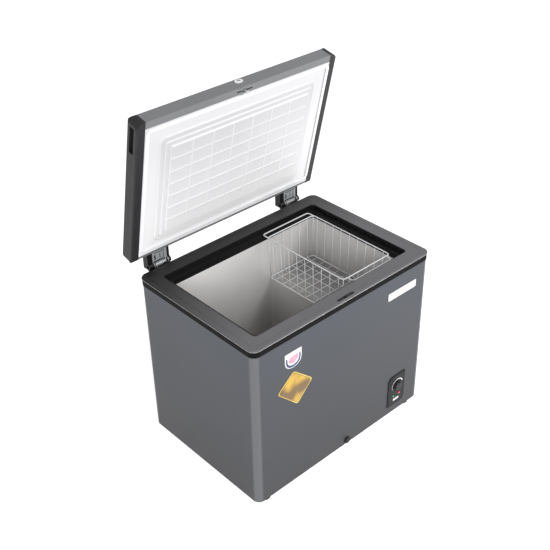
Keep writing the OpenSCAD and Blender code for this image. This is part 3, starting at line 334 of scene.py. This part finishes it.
EVEN = (1, 1, 1)
MATERIALS = {
    # cabinet paint with a painted highlight on its upright corners and painted shade towards the floor
    "grey_steel": painted("cabinet_paint", srgb(62, 66, 73), painted_corner_highlight=srgb(92, 93, 96), painted_low_shade=srgb(50, 50, 54)),
    "lid_steel": painted("lid_paint", srgb(112, 113, 115)),
    # frame moulding with painted shade, darkest at the rear
    "frame_grey": frame_with_painted_shade("frame_moulding", srgb(14, 12, 14), srgb(88, 87, 89), (0.46, 0.32)),
    "dark_plastic": moulded("cap_moulding", srgb(34, 34, 36), rough=0.5, shine=0.35),
    "black_plastic": moulded("black_moulding", srgb(14, 14, 15), rough=0.45, grain=0.15, shine=0.25),
    "white_plastic": white_sheet("lid_liner_sheet", srgb(214, 214, 216)),
    "gasket_white": rubbery("gasket_vinyl", srgb(232, 233, 234), rough=0.5),
    # liner with painted shade deep in the well and on its level faces
    "liner_aluminium": stucco("liner_aluminium", srgb(240, 238, 236), (0.05, 0.8)),
    "zinc_steel": plated("zinc_plate", srgb(192, 193, 195), rough=0.38, metallic=0.55),
    "black_steel": painted("black_paint", srgb(22, 22, 24), rough=0.4),
    "white_wire": painted("wire_coating", srgb(196, 197, 199), rough=0.32, grain=0.02),
    "foam": foamy("rigid_foam", srgb(232, 218, 170)),
    "copper": plated("copper_tube", srgb(196, 120, 84)),
    "chrome": plated("chrome_plate", srgb(220, 221, 223), rough=0.14, streak=EVEN),
    "rubber_black": rubbery("black_rubber", srgb(24, 24, 25)),
    "green_lens": lens_like("green_lens", srgb(40, 140, 90), 0.1),
    "red_lens": lens_like("red_lens", srgb(205, 30, 60), 0.2),
    # looks of pieces and nodes that differ from the rest of their slot
    "label_rose": printed("label_rose", srgb(196, 120, 140), srgb(206, 160, 178)),
    "label_gold_pale": printed("label_gold_pale", srgb(184, 146, 30), srgb(220, 188, 70)),
    "label_gold": printed("label_gold", srgb(104, 74, 0), srgb(198, 156, 14)),
    "label_navy": printed("label_navy", srgb(24, 36, 92), srgb(46, 58, 120)),
    "label_dark": printed("label_dark", srgb(70, 52, 20), srgb(90, 68, 28)),
    # lid liner with painted highlights on its ribs and painted light towards the hinge
    "liner_painted_highlights": sheet_with_painted_highlights("lid_liner_painted_highlights", srgb(184, 184, 186), srgb(198, 198, 200),
                                 srgb(246, 246, 247), (1.3, 0.72)),
    "lock_chrome": plated("lock_chrome", srgb(236, 236, 238), rough=0.2, streak=EVEN, metallic=0.4),
    "leaf_zinc": plated("leaf_zinc", srgb(158, 159, 161), rough=0.4, metallic=0.3),
    "trim_black": moulded("trim_moulding", srgb(7, 7, 8), rough=0.6, grain=0.1, shine=0.1),
}
NODE_LOOKS = {
    "trim_band": "trim_black",
    "lock_bezel": "lock_chrome",
    "hinge_leaf_left": "leaf_zinc",
    "hinge_leaf_right": "leaf_zinc",
}


def dress_nodes():
    slots = {part["node"]: part["material_slot"] for part in frame["record"]["subparts"]}
    for name, obj in frame["nodes"].items():
        obj.data.materials.clear()
        obj.data.materials.append(MATERIALS[NODE_LOOKS.get(name, slots[name])])


dress_nodes()

# ---------------------------------------------------------------- frame of the closed lid

lid_joint = next(j for j in frame["joints"] if j["name"] == "lid_hinge")
pin = Vector(lid_joint["pos_m"])
OPEN = (Matrix.Translation(pin)
        @ Matrix.Rotation(-math.radians(lid_joint["range_deg"][0]), 4, Vector(lid_joint["axis"]))
        @ Matrix.Translation(-pin))
CLOSE = OPEN.inverted()


def closed_points(node):
    """Points of a lid node with the lid shut."""
    return [CLOSE @ v.co for v in frame["nodes"][node].data.vertices]


def closed_box(node):
    """Box of a lid node with the lid shut."""
    points = closed_points(node)
    low = Vector(min(p[i] for p in points) for i in range(3))
    high = Vector(max(p[i] for p in points) for i in range(3))
    return low, high


def new_piece(name, mesh, slot, body, nodes=(), matrix=None, smooth=True, look=None):
    """Puts a mesh in the scene as one piece on a body, with its slot's look or one of its own."""
    obj = bpy.data.objects.new(name, mesh)
    bpy.context.scene.collection.objects.link(obj)
    if matrix is not None:
        obj.data.transform(matrix)
    for face in obj.data.polygons:
        face.use_smooth = smooth
    obj.data.materials.append(MATERIALS[look or slot])
    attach(obj, body)
    if nodes:
        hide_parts(*nodes)


def mesh_of(name, points, faces):
    mesh = bpy.data.meshes.new(name)
    mesh.from_pydata([tuple(p) for p in points], [], faces)
    mesh.validate()
    return mesh


def smooth_step(t):
    t = max(0.0, min(1.0, t))
    return t * t * (3 - 2 * t)


# ---------------------------------------------------------------- lid liner

SHEET = 1.2 * MM
PANEL_CORNER = 26 * MM
TIERS = 3
TIER_PITCH = 20 * MM
TIER_BLEND = 5 * MM
TIER_LEAD = 2.4 * MM
RIB_ROWS = 8
RIB_COLUMNS = 6
RIB_TALL = 1.6 * MM
RIB_HALF = 5.5 * MM
FINE = 1.5 * MM
COARSE = 9 * MM
MARGIN = 3 * MM
LEVEL = 1 * MM


def inset_of(x, y, half_x, half_y, corner):
    """Depth of a point inside a rounded rectangle about the origin."""
    dx, dy = abs(x) - (half_x - corner), abs(y) - (half_y - corner)
    if dx > 0 and dy > 0:
        return corner - math.hypot(dx, dy)
    return corner - max(dx, dy)


def grid_lines(low, high, bands):
    """Places of grid lines: fine inside the bands, coarse between them."""
    lines = [low]
    while lines[-1] < high - 1e-6:
        x = lines[-1]
        step = min([COARSE] + [FINE for a, b in bands if a - 1e-6 <= x < b - 1e-6]
                   + [a - x for a, b in bands if x < a - 1e-6])
        lines.append(min(x + step, high))
    return lines


def below(points, level):
    """Half size and middle of the points that lie below a level."""
    part = [p for p in points if p.z < level]
    xs, ys = [p.x for p in part], [p.y for p in part]
    return (max(xs) - min(xs)) / 2, (max(ys) - min(ys)) / 2, (max(ys) + min(ys)) / 2


def lid_liner():
    """Vacuum-formed sheet with soft tiers and a net of low ribs."""
    points = closed_points("lid_liner")
    low, high = closed_box("lid_liner")
    flat = high.z - SHEET
    panel = flat - low.z - RIB_TALL
    half_x, half_y, mid_y = below(points, flat - LEVEL)
    rib_x, rib_y, _ = below(points, low.z + LEVEL)
    rows = [-rib_y + 2 * rib_y * i / (RIB_ROWS - 1) for i in range(RIB_ROWS)]
    columns = [-rib_x + 2 * rib_x * i / (RIB_COLUMNS + 1) for i in range(1, RIB_COLUMNS + 1)]

    def ridge(d):
        """Share of a rib's height at a distance from its middle."""
        return (1 + math.cos(math.pi * d / RIB_HALF)) / 2 if abs(d) < RIB_HALF else 0

    def depth(x, v):
        """Depth of the sheet at a point, and its share of painted highlight there."""
        d = inset_of(x, v, half_x, half_y, PANEL_CORNER)
        steps = [smooth_step((d - TIER_PITCH * t + TIER_LEAD) / TIER_BLEND) for t in range(TIERS)]
        out = panel / TIERS * sum(steps)
        end = min(smooth_step((rib_x + RIB_HALF - abs(x)) / RIB_HALF),
                  smooth_step((rib_y + RIB_HALF - abs(v)) / RIB_HALF))
        net = max([ridge(v - r) for r in rows] + [ridge(x - c) for c in columns])
        # painted highlight on the flange, the ribs and the tier slopes
        pale = max([1 - steps[0], net * end] + [4 * k * (1 - k) for k in steps])
        return out + RIB_TALL * net * end, pale

    def bands(half, marks):
        """Stretches that need a fine grid: both edges and the ribs."""
        edge = PANEL_CORNER + TIER_PITCH * (TIERS - 1) + 2 * LEVEL
        return ([(-half - MARGIN, edge - half), (half - edge, half + MARGIN)]
                + [(m - RIB_HALF, m + RIB_HALF) for m in marks])

    xs = grid_lines(low.x, high.x, bands(half_x, columns))
    ys = grid_lines(low.y - mid_y, high.y - mid_y, bands(half_y, rows))
    nx, ny = len(xs) - 1, len(ys) - 1
    shape = [(x, y, *depth(x, y)) for y in ys for x in xs]
    points = [(x, y + mid_y, flat - deep) for x, y, deep, _ in shape]
    relief_highlight = [pale for *_, pale in shape]
    faces = [(j * (nx + 1) + i, (j + 1) * (nx + 1) + i, (j + 1) * (nx + 1) + i + 1, j * (nx + 1) + i + 1)
             for j in range(ny) for i in range(nx)]
    # a flat back closes the sheet
    rim = (list(range(nx + 1))
           + [(j + 1) * (nx + 1) - 1 for j in range(1, ny + 1)]
           + [ny * (nx + 1) + i for i in range(nx - 1, -1, -1)]
           + [j * (nx + 1) for j in range(ny - 1, 0, -1)])
    start = len(points)
    points += [(points[k][0], points[k][1], high.z) for k in rim]
    n = len(rim)
    faces += [(rim[k], rim[(k + 1) % n], start + (k + 1) % n, start + k) for k in range(n)]
    faces.append(tuple(start + k for k in reversed(range(n))))
    mesh = mesh_of("lid_liner_sheet", points, faces)
    # the painted highlight goes to the mesh as an attribute, in full on the rim and back
    tone = mesh.attributes.new("relief_highlight", "FLOAT", "POINT")
    tone.data.foreach_set("value", relief_highlight + [1.0] * n)
    new_piece("lid_liner_sheet", mesh, "white_plastic", "lid", ["lid_liner"], OPEN, look="liner_painted_highlights")


# ---------------------------------------------------------------- lid gasket

GASKET_WIDTH = 14 * MM
GASKET_CORNER = 16 * MM


def rounded_loop(half_x, half_y, corner, steps=8):
    """Points and outward directions round a rounded rectangle about the origin."""
    loop = []
    for qx, qy, start in ((1, 1, 0), (-1, 1, 90), (-1, -1, 180), (1, -1, 270)):
        cx, cy = qx * (half_x - corner), qy * (half_y - corner)
        for k in range(steps + 1):
            a = math.radians(start + 90 * k / steps)
            loop.append((cx + corner * math.cos(a), cy + corner * math.sin(a), math.cos(a), math.sin(a)))
    return loop


def sweep(loop, profile):
    """Points and faces of a closed profile (outward, up) swept round a loop."""
    points = [(x + nx * u, y + ny * u, v) for x, y, nx, ny in loop for u, v in profile]
    m, n = len(profile), len(loop)
    faces = []
    for i in range(n):
        for k in range(m):
            a, b = i * m, (i + 1) % n * m
            faces.append((a + k, b + k, b + (k + 1) % m, a + (k + 1) % m))
    return points, faces


def gasket_profile(width, low, high):
    """Foot strip, bellows and magnet bulb of a fridge seal, as (outward, up)."""
    h = high - low
    w = width / 2
    right = [(0.62 * w, high), (0.62 * w, high - 0.16 * h), (0.30 * w, high - 0.24 * h),
             (0.30 * w, high - 0.34 * h), (0.86 * w, high - 0.42 * h), (w, high - 0.58 * h),
             (w, low + 0.22 * h), (0.90 * w, low + 0.05 * h), (0.70 * w, low)]
    return right + [(-u, v) for u, v in reversed(right)]


def lid_gasket():
    """The seal's profile swept round the lid."""
    low, high = closed_box("lid_gasket")
    centre = (low + high) / 2
    half_x = (high.x - low.x - GASKET_WIDTH) / 2
    half_y = (high.y - low.y - GASKET_WIDTH) / 2
    points, faces = sweep(rounded_loop(half_x, half_y, GASKET_CORNER),
                          gasket_profile(GASKET_WIDTH, low.z, high.z))
    mesh = mesh_of("lid_gasket_seal", points, faces)
    new_piece("lid_gasket_seal", mesh, "gasket_white", "lid", ["lid_gasket"],
              OPEN @ Matrix.Translation((centre.x, centre.y, 0)))


# ---------------------------------------------------------------- wire basket

WIRE_SIDES = 10
BASKET_DEPTH = 424 * MM
BASKET_LEAN = 6 * MM
RAIL_WIRE = 2.5 * MM
MESH_WIRE = 1.2 * MM
MESH_PITCH = 46 * MM
POST_WIRE = 2 * MM
RAIL_CORNER = 16 * MM
NET_CORNER = 5 * MM
BOW_CORNER = 12 * MM
# least distance from the outermost wire of a row to the corner
NET_MARGIN = 20 * MM
POST_INSET = 3 * MM
BOW_LAP = 8 * MM
REAR_BOW_INSET = 2 * MM
FRONT_BOW_INSET = 22 * MM


def tube(points, radius, closed=False):
    """Points and faces of a round wire along a path."""
    path = [Vector(p) for p in points]
    n, sides = len(path), WIRE_SIDES
    turns = [2 * math.pi * k / sides for k in range(sides)]
    rings, faces = [], []
    normal = None
    for i, p in enumerate(path):
        if closed:
            ahead, behind = path[(i + 1) % n], path[i - 1]
        else:
            ahead, behind = path[min(i + 1, n - 1)], path[max(i - 1, 0)]
        t = (ahead - behind).normalized()
        if normal is None:
            normal = t.orthogonal().normalized()
        normal = (normal - t * normal.dot(t)).normalized()
        side = t.cross(normal)
        rings += [p + radius * (normal * math.cos(a) + side * math.sin(a)) for a in turns]
    for i in range(n if closed else n - 1):
        a, b = i * sides, (i + 1) % n * sides
        faces += [(a + k, a + (k + 1) % sides, b + (k + 1) % sides, b + k) for k in range(sides)]
    if not closed:
        faces.append(tuple(reversed(range(sides))))
        faces.append(tuple((n - 1) * sides + k for k in range(sides)))
    return rings, faces


def bend(points, radius, steps=5, closed=False):
    """The same path with its corners rounded off."""
    pts = [Vector(p) for p in points]
    out = []
    n = len(pts)
    for i, p in enumerate(pts):
        if not closed and i in (0, n - 1):
            out.append(p)
            continue
        a, b = pts[i - 1], pts[(i + 1) % n]
        reach = min(radius, (a - p).length / 2.05, (b - p).length / 2.05)
        start, end = p + (a - p).normalized() * reach, p + (b - p).normalized() * reach
        for k in range(steps + 1):
            t = k / steps
            out.append(start * (1 - t) ** 2 + p * 2 * t * (1 - t) + end * t ** 2)
    return out


class Wires:
    """Gathers many wires into one mesh."""

    def __init__(self):
        self.points, self.faces = [], []

    def add(self, path, radius, closed=False):
        points, faces = tube(path, radius, closed)
        start = len(self.points)
        self.points += points
        self.faces += [tuple(start + k for k in face) for face in faces]


def basket():
    """Wire basket: two rails, a net of U-shaped wires, corner wires and two hanging bows."""
    low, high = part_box("basket")
    centre = (low + high) / 2
    top_z, low_z = high.z - RAIL_WIRE, low.z + RAIL_WIRE
    half_w = (high.x - low.x) / 2 - RAIL_WIRE
    bow_y = (high.y - low.y) / 2 - RAIL_WIRE
    half_d = BASKET_DEPTH / 2
    low_w, low_d = half_w - BASKET_LEAN, half_d - BASKET_LEAN
    inside = RAIL_WIRE + MESH_WIRE / 2
    w = Wires()

    def rail(a, b, z):
        w.add(bend([(a, b, z), (-a, b, z), (-a, -b, z), (a, -b, z)], RAIL_CORNER, closed=True), RAIL_WIRE,
              closed=True)

    def net(half_run, low_run, half_row, low_row, floor_z, place):
        """Wires that each run down one side, across the floor and up the other side."""
        count = math.floor((half_row - NET_MARGIN) / MESH_PITCH)
        for i in range(-count, count + 1):
            row = i * MESH_PITCH
            low_place = row * (low_row / half_row)
            w.add(bend([place(-half_run + inside, row, top_z), place(-low_run + inside, low_place, floor_z),
                        place(low_run - inside, low_place, floor_z), place(half_run - inside, row, top_z)],
                       NET_CORNER), MESH_WIRE)

    rail(half_w, half_d, top_z)
    rail(low_w, low_d, low_z)
    net(half_w, low_w, half_d, low_d, low_z - MESH_WIRE, lambda run, row, z: (run, row, z))
    net(half_d, low_d, half_w, low_w, low_z + MESH_WIRE, lambda run, row, z: (row, run, z))
    for sx in (-1, 1):
        for sy in (-1, 1):
            w.add([(sx * (half_w - POST_INSET), sy * (half_d - POST_INSET), top_z),
                   (sx * (low_w - POST_INSET), sy * (low_d - POST_INSET), low_z)], POST_WIRE)
    # bows that hang on the ledge, the rear one as wide as the basket
    for s, half in ((1, half_w - REAR_BOW_INSET), (-1, half_w - FRONT_BOW_INSET)):
        w.add(bend([(-half, s * (half_d - BOW_LAP), top_z), (-half, s * bow_y, top_z),
                    (half, s * bow_y, top_z), (half, s * (half_d - BOW_LAP), top_z)], BOW_CORNER), RAIL_WIRE)
    mesh = mesh_of("wire_basket", w.points, w.faces)
    new_piece("wire_basket", mesh, "white_wire", "basket", ["basket"],
              Matrix.Translation((centre.x, centre.y, 0)))


# ---------------------------------------------------------------- badge and stickers

# Places on the front are x from its middle and z above the floor, both in metres.
BADGE_PLACE = (308 * MM, 638 * MM)
BADGE_SIZE = (160 * MM, 34 * MM)
BADGE_CORNER = 5 * MM
BADGE_EDGE = 2 * MM
SHIELD_PLACE = (-275 * MM, 624 * MM)
SHIELD_HALF = 41 * MM
SHIELD_TOP = 34 * MM
SHIELD_FOOT = [(-41 * MM, -4 * MM), (-36 * MM, -22 * MM), (-22 * MM, -34 * MM), (0, -39 * MM),
               (22 * MM, -34 * MM), (36 * MM, -22 * MM), (41 * MM, -4 * MM)]
SHIELD_FIELD = [(24 * MM, 16 * MM), (-14 * MM, 12 * MM), (-24 * MM, -8 * MM), (2 * MM, -20 * MM),
                (24 * MM, -6 * MM)]
SHIELD_CORNER = 4 * MM
BAND_TOP = 16 * MM
LOZENGE_PLACE = (-265 * MM, 488 * MM)
LOZENGE = [(87 * MM, -6 * MM), (-8 * MM, 79 * MM), (-89 * MM, 12 * MM), (10 * MM, -86 * MM)]
LOZENGE_CORNER = 13 * MM
LABEL_THICK = 0.25 * MM
PRINT_THICK = 0.4 * MM


def facing_front(x, y, z):
    """Frame at a point of the front: x right, y up, z out of it."""
    return Matrix(((1, 0, 0, x), (0, 0, -1, y), (0, 1, 0, z), (0, 0, 0, 1)))


def cabinet_front(x, z):
    return facing_front(x, shell_low.y, z)


def plate(name, outline, thick, slot, matrix, chamfer=0.0, look=None):
    """Flat plate on the cabinet with a chamfered upper edge, lying on its frame's plane."""
    n = len(outline)
    mid = sum((Vector(p) for p in outline), Vector((0, 0))) / n
    points = [(x, y, 0) for x, y in outline]
    if chamfer:
        points += [(x, y, thick - chamfer) for x, y in outline]
    for p in outline:
        out = Vector(p) - mid
        top = mid + out * (1 - chamfer / out.length)
        points.append((top.x, top.y, thick))
    faces = [tuple(reversed(range(n)))]
    layers = len(points) // n
    for k in range(layers - 1):
        faces += [(k * n + i, k * n + (i + 1) % n, (k + 1) * n + (i + 1) % n, (k + 1) * n + i)
                  for i in range(n)]
    faces.append(tuple((layers - 1) * n + i for i in range(n)))
    new_piece(name, mesh_of(name, points, faces), slot, "cabinet", (), matrix, smooth=False, look=look)


def soft(outline, radius):
    """The outline with round corners."""
    return [(p.x, p.y) for p in bend([(x, y, 0) for x, y in outline], radius, 6, closed=True)]


def rectangle(w, h, radius):
    return soft([(w / 2, h / 2), (-w / 2, h / 2), (-w / 2, -h / 2), (w / 2, -h / 2)], radius)


def badge():
    """Bare raised plate at the front's upper right: a bright edge and a white face."""
    place = cabinet_front(*BADGE_PLACE)
    w, h = BADGE_SIZE
    plate("badge_edge", rectangle(w, h, BADGE_CORNER), 1.2 * MM, "chrome", place, 0.5 * MM)
    plate("badge_face", rectangle(w - 2 * BADGE_EDGE, h - 2 * BADGE_EDGE, BADGE_CORNER - 1 * MM), 1.6 * MM,
          "white_plastic", place, 0.3 * MM)


def shield_sticker():
    """Plain white shield with a dark band inside its rim and a pale field."""
    place = cabinet_front(*SHIELD_PLACE)
    shield = [(SHIELD_HALF, SHIELD_TOP), (-SHIELD_HALF, SHIELD_TOP)] + SHIELD_FOOT
    plate("shield_sticker", soft(shield, SHIELD_CORNER), LABEL_THICK, "white_plastic", place)
    rim = [(-SHIELD_HALF, BAND_TOP)] + SHIELD_FOOT + [(SHIELD_HALF, BAND_TOP)]
    band = [(x * 0.88, y * 0.9 - 1 * MM) for x, y in rim]
    band += [(x * 0.7, y * 0.7 + 1 * MM) for x, y in reversed(rim)]
    plate("shield_band", band, PRINT_THICK, "white_plastic", place, look="label_navy")
    plate("shield_field", soft(SHIELD_FIELD, SHIELD_CORNER), PRINT_THICK, "white_plastic", place,
          look="label_rose")


def gold_sticker():
    """Plain gold lozenge: a pale edge, a dark line and the field, one on the other."""
    place = cabinet_front(*LOZENGE_PLACE)
    for name, scale, thick, look in (("gold_edge", 1, 0.25 * MM, "label_gold_pale"),
                                     ("gold_line", 0.93, 0.4 * MM, "label_dark"),
                                     ("gold_field", 0.9, 0.55 * MM, "label_gold")):
        outline = soft([(x * scale, y * scale) for x, y in LOZENGE], LOZENGE_CORNER)
        plate(name, outline, thick, "white_plastic", place, look=look)


# ---------------------------------------------------------------- marks on the control panel

SCALE_RADIUS = 30 * MM
SCALE_START = 205
SCALE_TURN = -185
SCALE_STEPS = 36
SCALE_WIDTH = 0.9 * MM
SCALE_GROWTH = 4.6 * MM
SCALE_THICK = 0.3 * MM
PANEL_LABEL_SIZE = (34 * MM, 11 * MM)
PANEL_LABEL_RISE = 26 * MM


def control_marks():
    """White arc scale round the dial, which widens as it turns, and a bare bright label."""
    low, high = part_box("control_panel")
    dial_low, dial_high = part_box("thermostat_dial")
    points = []
    for k in range(SCALE_STEPS + 1):
        t = k / SCALE_STEPS
        a = math.radians(SCALE_START + SCALE_TURN * t)
        for r in (SCALE_RADIUS, SCALE_RADIUS + SCALE_WIDTH + SCALE_GROWTH * t):
            points += [(r * math.cos(a), r * math.sin(a), z) for z in (0, SCALE_THICK)]
    faces = []
    for k in range(SCALE_STEPS):
        i = 4 * k
        faces += [(i + 1, i + 3, i + 7, i + 5), (i, i + 4, i + 6, i + 2), (i, i + 1, i + 5, i + 4),
                  (i + 2, i + 6, i + 7, i + 3)]
    end = 4 * SCALE_STEPS
    faces += [(0, 2, 3, 1), (end, end + 1, end + 3, end + 2)]
    dial = facing_front((dial_low.x + dial_high.x) / 2, low.y, (dial_low.z + dial_high.z) / 2)
    new_piece("dial_scale", mesh_of("dial_scale", points, faces), "white_plastic", "cabinet", (), dial,
              smooth=False)
    label = facing_front((low.x + high.x) / 2, low.y, low.z + PANEL_LABEL_RISE)
    plate("panel_label", rectangle(*PANEL_LABEL_SIZE, 2 * MM), PRINT_THICK, "chrome", label)


# ---------------------------------------------------------------- top frame

# The frame's own corner radius, so that the bead lies against it all round.
BEAD_CORNER = 31 * MM
BEAD_PROFILE = [(-0.2, 0.1), (0.5, 0.1), (0.7, 0.6), (0.5, 1.1), (-0.2, 1.1)]
SLIT_X = 2 * MM
SLIT_HALF = (37.2 * MM, 2.7 * MM)
RIM_HALF = (41 * MM, 6 * MM)
RIM_THICK = 0.2 * MM
LINING_HALF = (37.9 * MM, 6.4 * MM)
LINING_DROP = 6.05 * MM
LINING_DEEP = 13.5 * MM
LINING_WALL = 0.8 * MM


def frame_highlight_bead():
    """Thin bright bead along the lower outer edge of the top frame: a painted highlight on that edge."""
    low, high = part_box("top_frame")
    centre = (low + high) / 2
    half_x, half_y = (high.x - low.x) / 2, (high.y - low.y) / 2
    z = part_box("trim_band")[1].z
    points, faces = sweep(rounded_loop(half_x, half_y, BEAD_CORNER),
                          [(out * MM, z + up * MM) for out, up in BEAD_PROFILE])
    new_piece("frame_highlight_bead", mesh_of("frame_highlight_bead", points, faces), "zinc_steel", "cabinet", (),
              Matrix.Translation((centre.x, centre.y, 0)))


def slit_middle():
    """Middle of the frame's slit, level with the frame's top."""
    hook_low, hook_high = closed_box("lock_hook")
    return Vector((SLIT_X, (hook_low.y + hook_high.y) / 2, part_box("top_frame")[1].z))


def slit_shade_rim():
    """Thin black rim round the slit in the frame: painted shade that widens the dark of the opening."""
    outer = rectangle(2 * RIM_HALF[0], 2 * RIM_HALF[1], 3 * MM)
    inner = rectangle(2 * SLIT_HALF[0], 2 * SLIT_HALF[1], 1 * MM)
    n = len(outer)
    points = [(x, y, z) for loop, z in ((outer, 0), (outer, RIM_THICK), (inner, RIM_THICK), (inner, 0))
              for x, y in loop]
    faces = [(k * n + i, k * n + (i + 1) % n, (k + 1) % 4 * n + (i + 1) % n, (k + 1) % 4 * n + i)
             for k in range(4) for i in range(n)]
    new_piece("slit_shade_rim", mesh_of("slit_shade_rim", points, faces), "black_plastic", "cabinet", (),
              Matrix.Translation(slit_middle()), smooth=False, look="trim_black")


def slit_lining():
    """Thin black pocket under the frame's slit, which hides the foam."""
    middle = slit_middle()
    top = middle.z - LINING_DROP
    low = top - LINING_DEEP
    points, faces = [], []
    for inset, z in ((0, top), (0, low), (LINING_WALL, top), (LINING_WALL, low + LINING_WALL)):
        points += [(middle.x + a * (LINING_HALF[0] - inset), middle.y + b * (LINING_HALF[1] - inset), z)
                   for a, b in ((-1, -1), (1, -1), (1, 1), (-1, 1))]
    for k in range(4):
        j = (k + 1) % 4
        faces += [(4 + k, 4 + j, j, k), (8 + k, 8 + j, 12 + j, 12 + k), (k, j, 8 + j, 8 + k)]
    faces += [(7, 6, 5, 4), (12, 13, 14, 15)]
    new_piece("slit_lining", mesh_of("slit_lining", points, faces), "black_plastic", "cabinet",
              smooth=False)


# ---------------------------------------------------------------- hinges

SIDES = ("left", "right")
SCREW_PLACES = (0.2, 0.5, 0.8)
SCREW_RINGS = [(2.6 * MM, 2.3 * MM), (4.4 * MM, 1.3 * MM), (4.8 * MM, 0)]
SCREW_DIP = 1.2 * MM
SCREW_SIDES = 20
SHELF_BEFORE_PIN = 20 * MM
SHELF_PAST_PIN = 4 * MM
SHELF_DROP = 14 * MM
SHELF_THICK = 1.5 * MM


def screw_head():
    """Pan head with a conical dip, from rings of radius and height."""
    n = SCREW_SIDES
    points = [(r * math.cos(2 * math.pi * i / n), r * math.sin(2 * math.pi * i / n), h)
              for r, h in SCREW_RINGS for i in range(n)]
    dip = len(points)
    points.append((0, 0, SCREW_DIP))
    faces = [(ring * n + i, (ring + 1) * n + i, (ring + 1) * n + (i + 1) % n, ring * n + (i + 1) % n)
             for ring in range(len(SCREW_RINGS) - 1) for i in range(n)]
    faces += [(i, (i + 1) % n, dip) for i in range(n)]
    faces.append(tuple(dip - n + i for i in reversed(range(n))))
    return mesh_of("lid_screw", points, faces)


def lid_screws(side):
    """Screws through the mounting plate of one hinge leaf, which lies on the lid's back."""
    back = closed_box("lid_skin")[1].y
    leaf = "hinge_leaf_" + side
    points = closed_points(leaf)
    low, high = closed_box(leaf)
    heights = [p.z for p in points if abs(p.y - back) < 0.5 * MM]
    z = (min(heights) + max(heights)) / 2
    face = min(p.y for p in points if p.y > back + 1 * MM)
    for k, share in enumerate(SCREW_PLACES):
        x = low.x + (high.x - low.x) * share
        place = Matrix(((1, 0, 0, x), (0, 0, 1, face), (0, -1, 0, z), (0, 0, 0, 1)))
        new_piece(f"lid_screw_{side}_{k + 1}", screw_head(), "zinc_steel", "lid", (), OPEN @ place)


def hinge_shelf(side):
    """Thin black shelf on the cabinet's side of a hinge, below the knuckle."""
    low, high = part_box("hinge_cover_" + side)
    front, back = pin.y - SHELF_BEFORE_PIN, pin.y + SHELF_PAST_PIN
    top = pin.z - SHELF_DROP
    points = [(x, y, z) for z in (top - SHELF_THICK, top)
              for x, y in ((low.x, front), (high.x, front), (high.x, back), (low.x, back))]
    faces = [(3, 2, 1, 0), (4, 5, 6, 7)] + [(k, (k + 1) % 4, 4 + (k + 1) % 4, 4 + k) for k in range(4)]
    name = "hinge_shelf_" + side
    new_piece(name, mesh_of(name, points, faces), "black_plastic", "cabinet", smooth=False)


# ---------------------------------------------------------------- all pieces

lid_liner()
lid_gasket()
basket()
for hinge_side in SIDES:
    lid_screws(hinge_side)
for hinge_side in SIDES:
    hinge_shelf(hinge_side)
badge()
shield_sticker()
gold_sticker()
control_marks()
frame_highlight_bead()
slit_shade_rim()
slit_lining()

# ---------------------------------------------------------------- stage and light

FLOOR_SIZE = 40
FLOOR_GLOW = 0.45
WORLD_STRENGTH = 0.65


def make_floor():
    """Wide pale floor that glows a little, so that it reads as white studio paper."""
    bpy.ops.mesh.primitive_plane_add(size=FLOOR_SIZE, location=(0, 0, 0))
    floor = bpy.context.object
    floor.name = "floor"
    n = Nodes("floor_paper")
    n.base(n.ramp(n.noise(0.6, 2), [(0.3, (0.9, 0.9, 0.9, 1)), (0.7, (0.93, 0.93, 0.93, 1))]))
    floor.data.materials.append(n.finish(Roughness=0.9, Emission_Color=(1, 1, 1, 1),
                                         Emission_Strength=FLOOR_GLOW))


def area_light(name, place, aim, size, power):
    data = bpy.data.lights.new(name, "AREA")
    data.shape = "SQUARE"
    data.size = size
    data.energy = power
    obj = bpy.data.objects.new(name, data)
    bpy.context.scene.collection.objects.link(obj)
    obj.location = place
    obj.rotation_euler = (Vector(aim) - Vector(place)).to_track_quat("-Z", "Y").to_euler()


def make_world(strength):
    world = bpy.data.worlds.new("studio")
    world.use_nodes = True
    background = world.node_tree.nodes["Background"]
    background.inputs["Color"].default_value = (1, 1, 1, 1)
    background.inputs["Strength"].default_value = strength
    bpy.context.scene.world = world


make_floor()
make_world(WORLD_STRENGTH)
area_light("key", (-2.9, -3.2, 2.4), (0, 0, 0.5), 1.6, 108)
area_light("top", (1.6, -1.7, 2.6), (-0.2, 0.2, 0.6), 1.2, 50)
bpy.context.scene.view_settings.view_transform = "Standard"
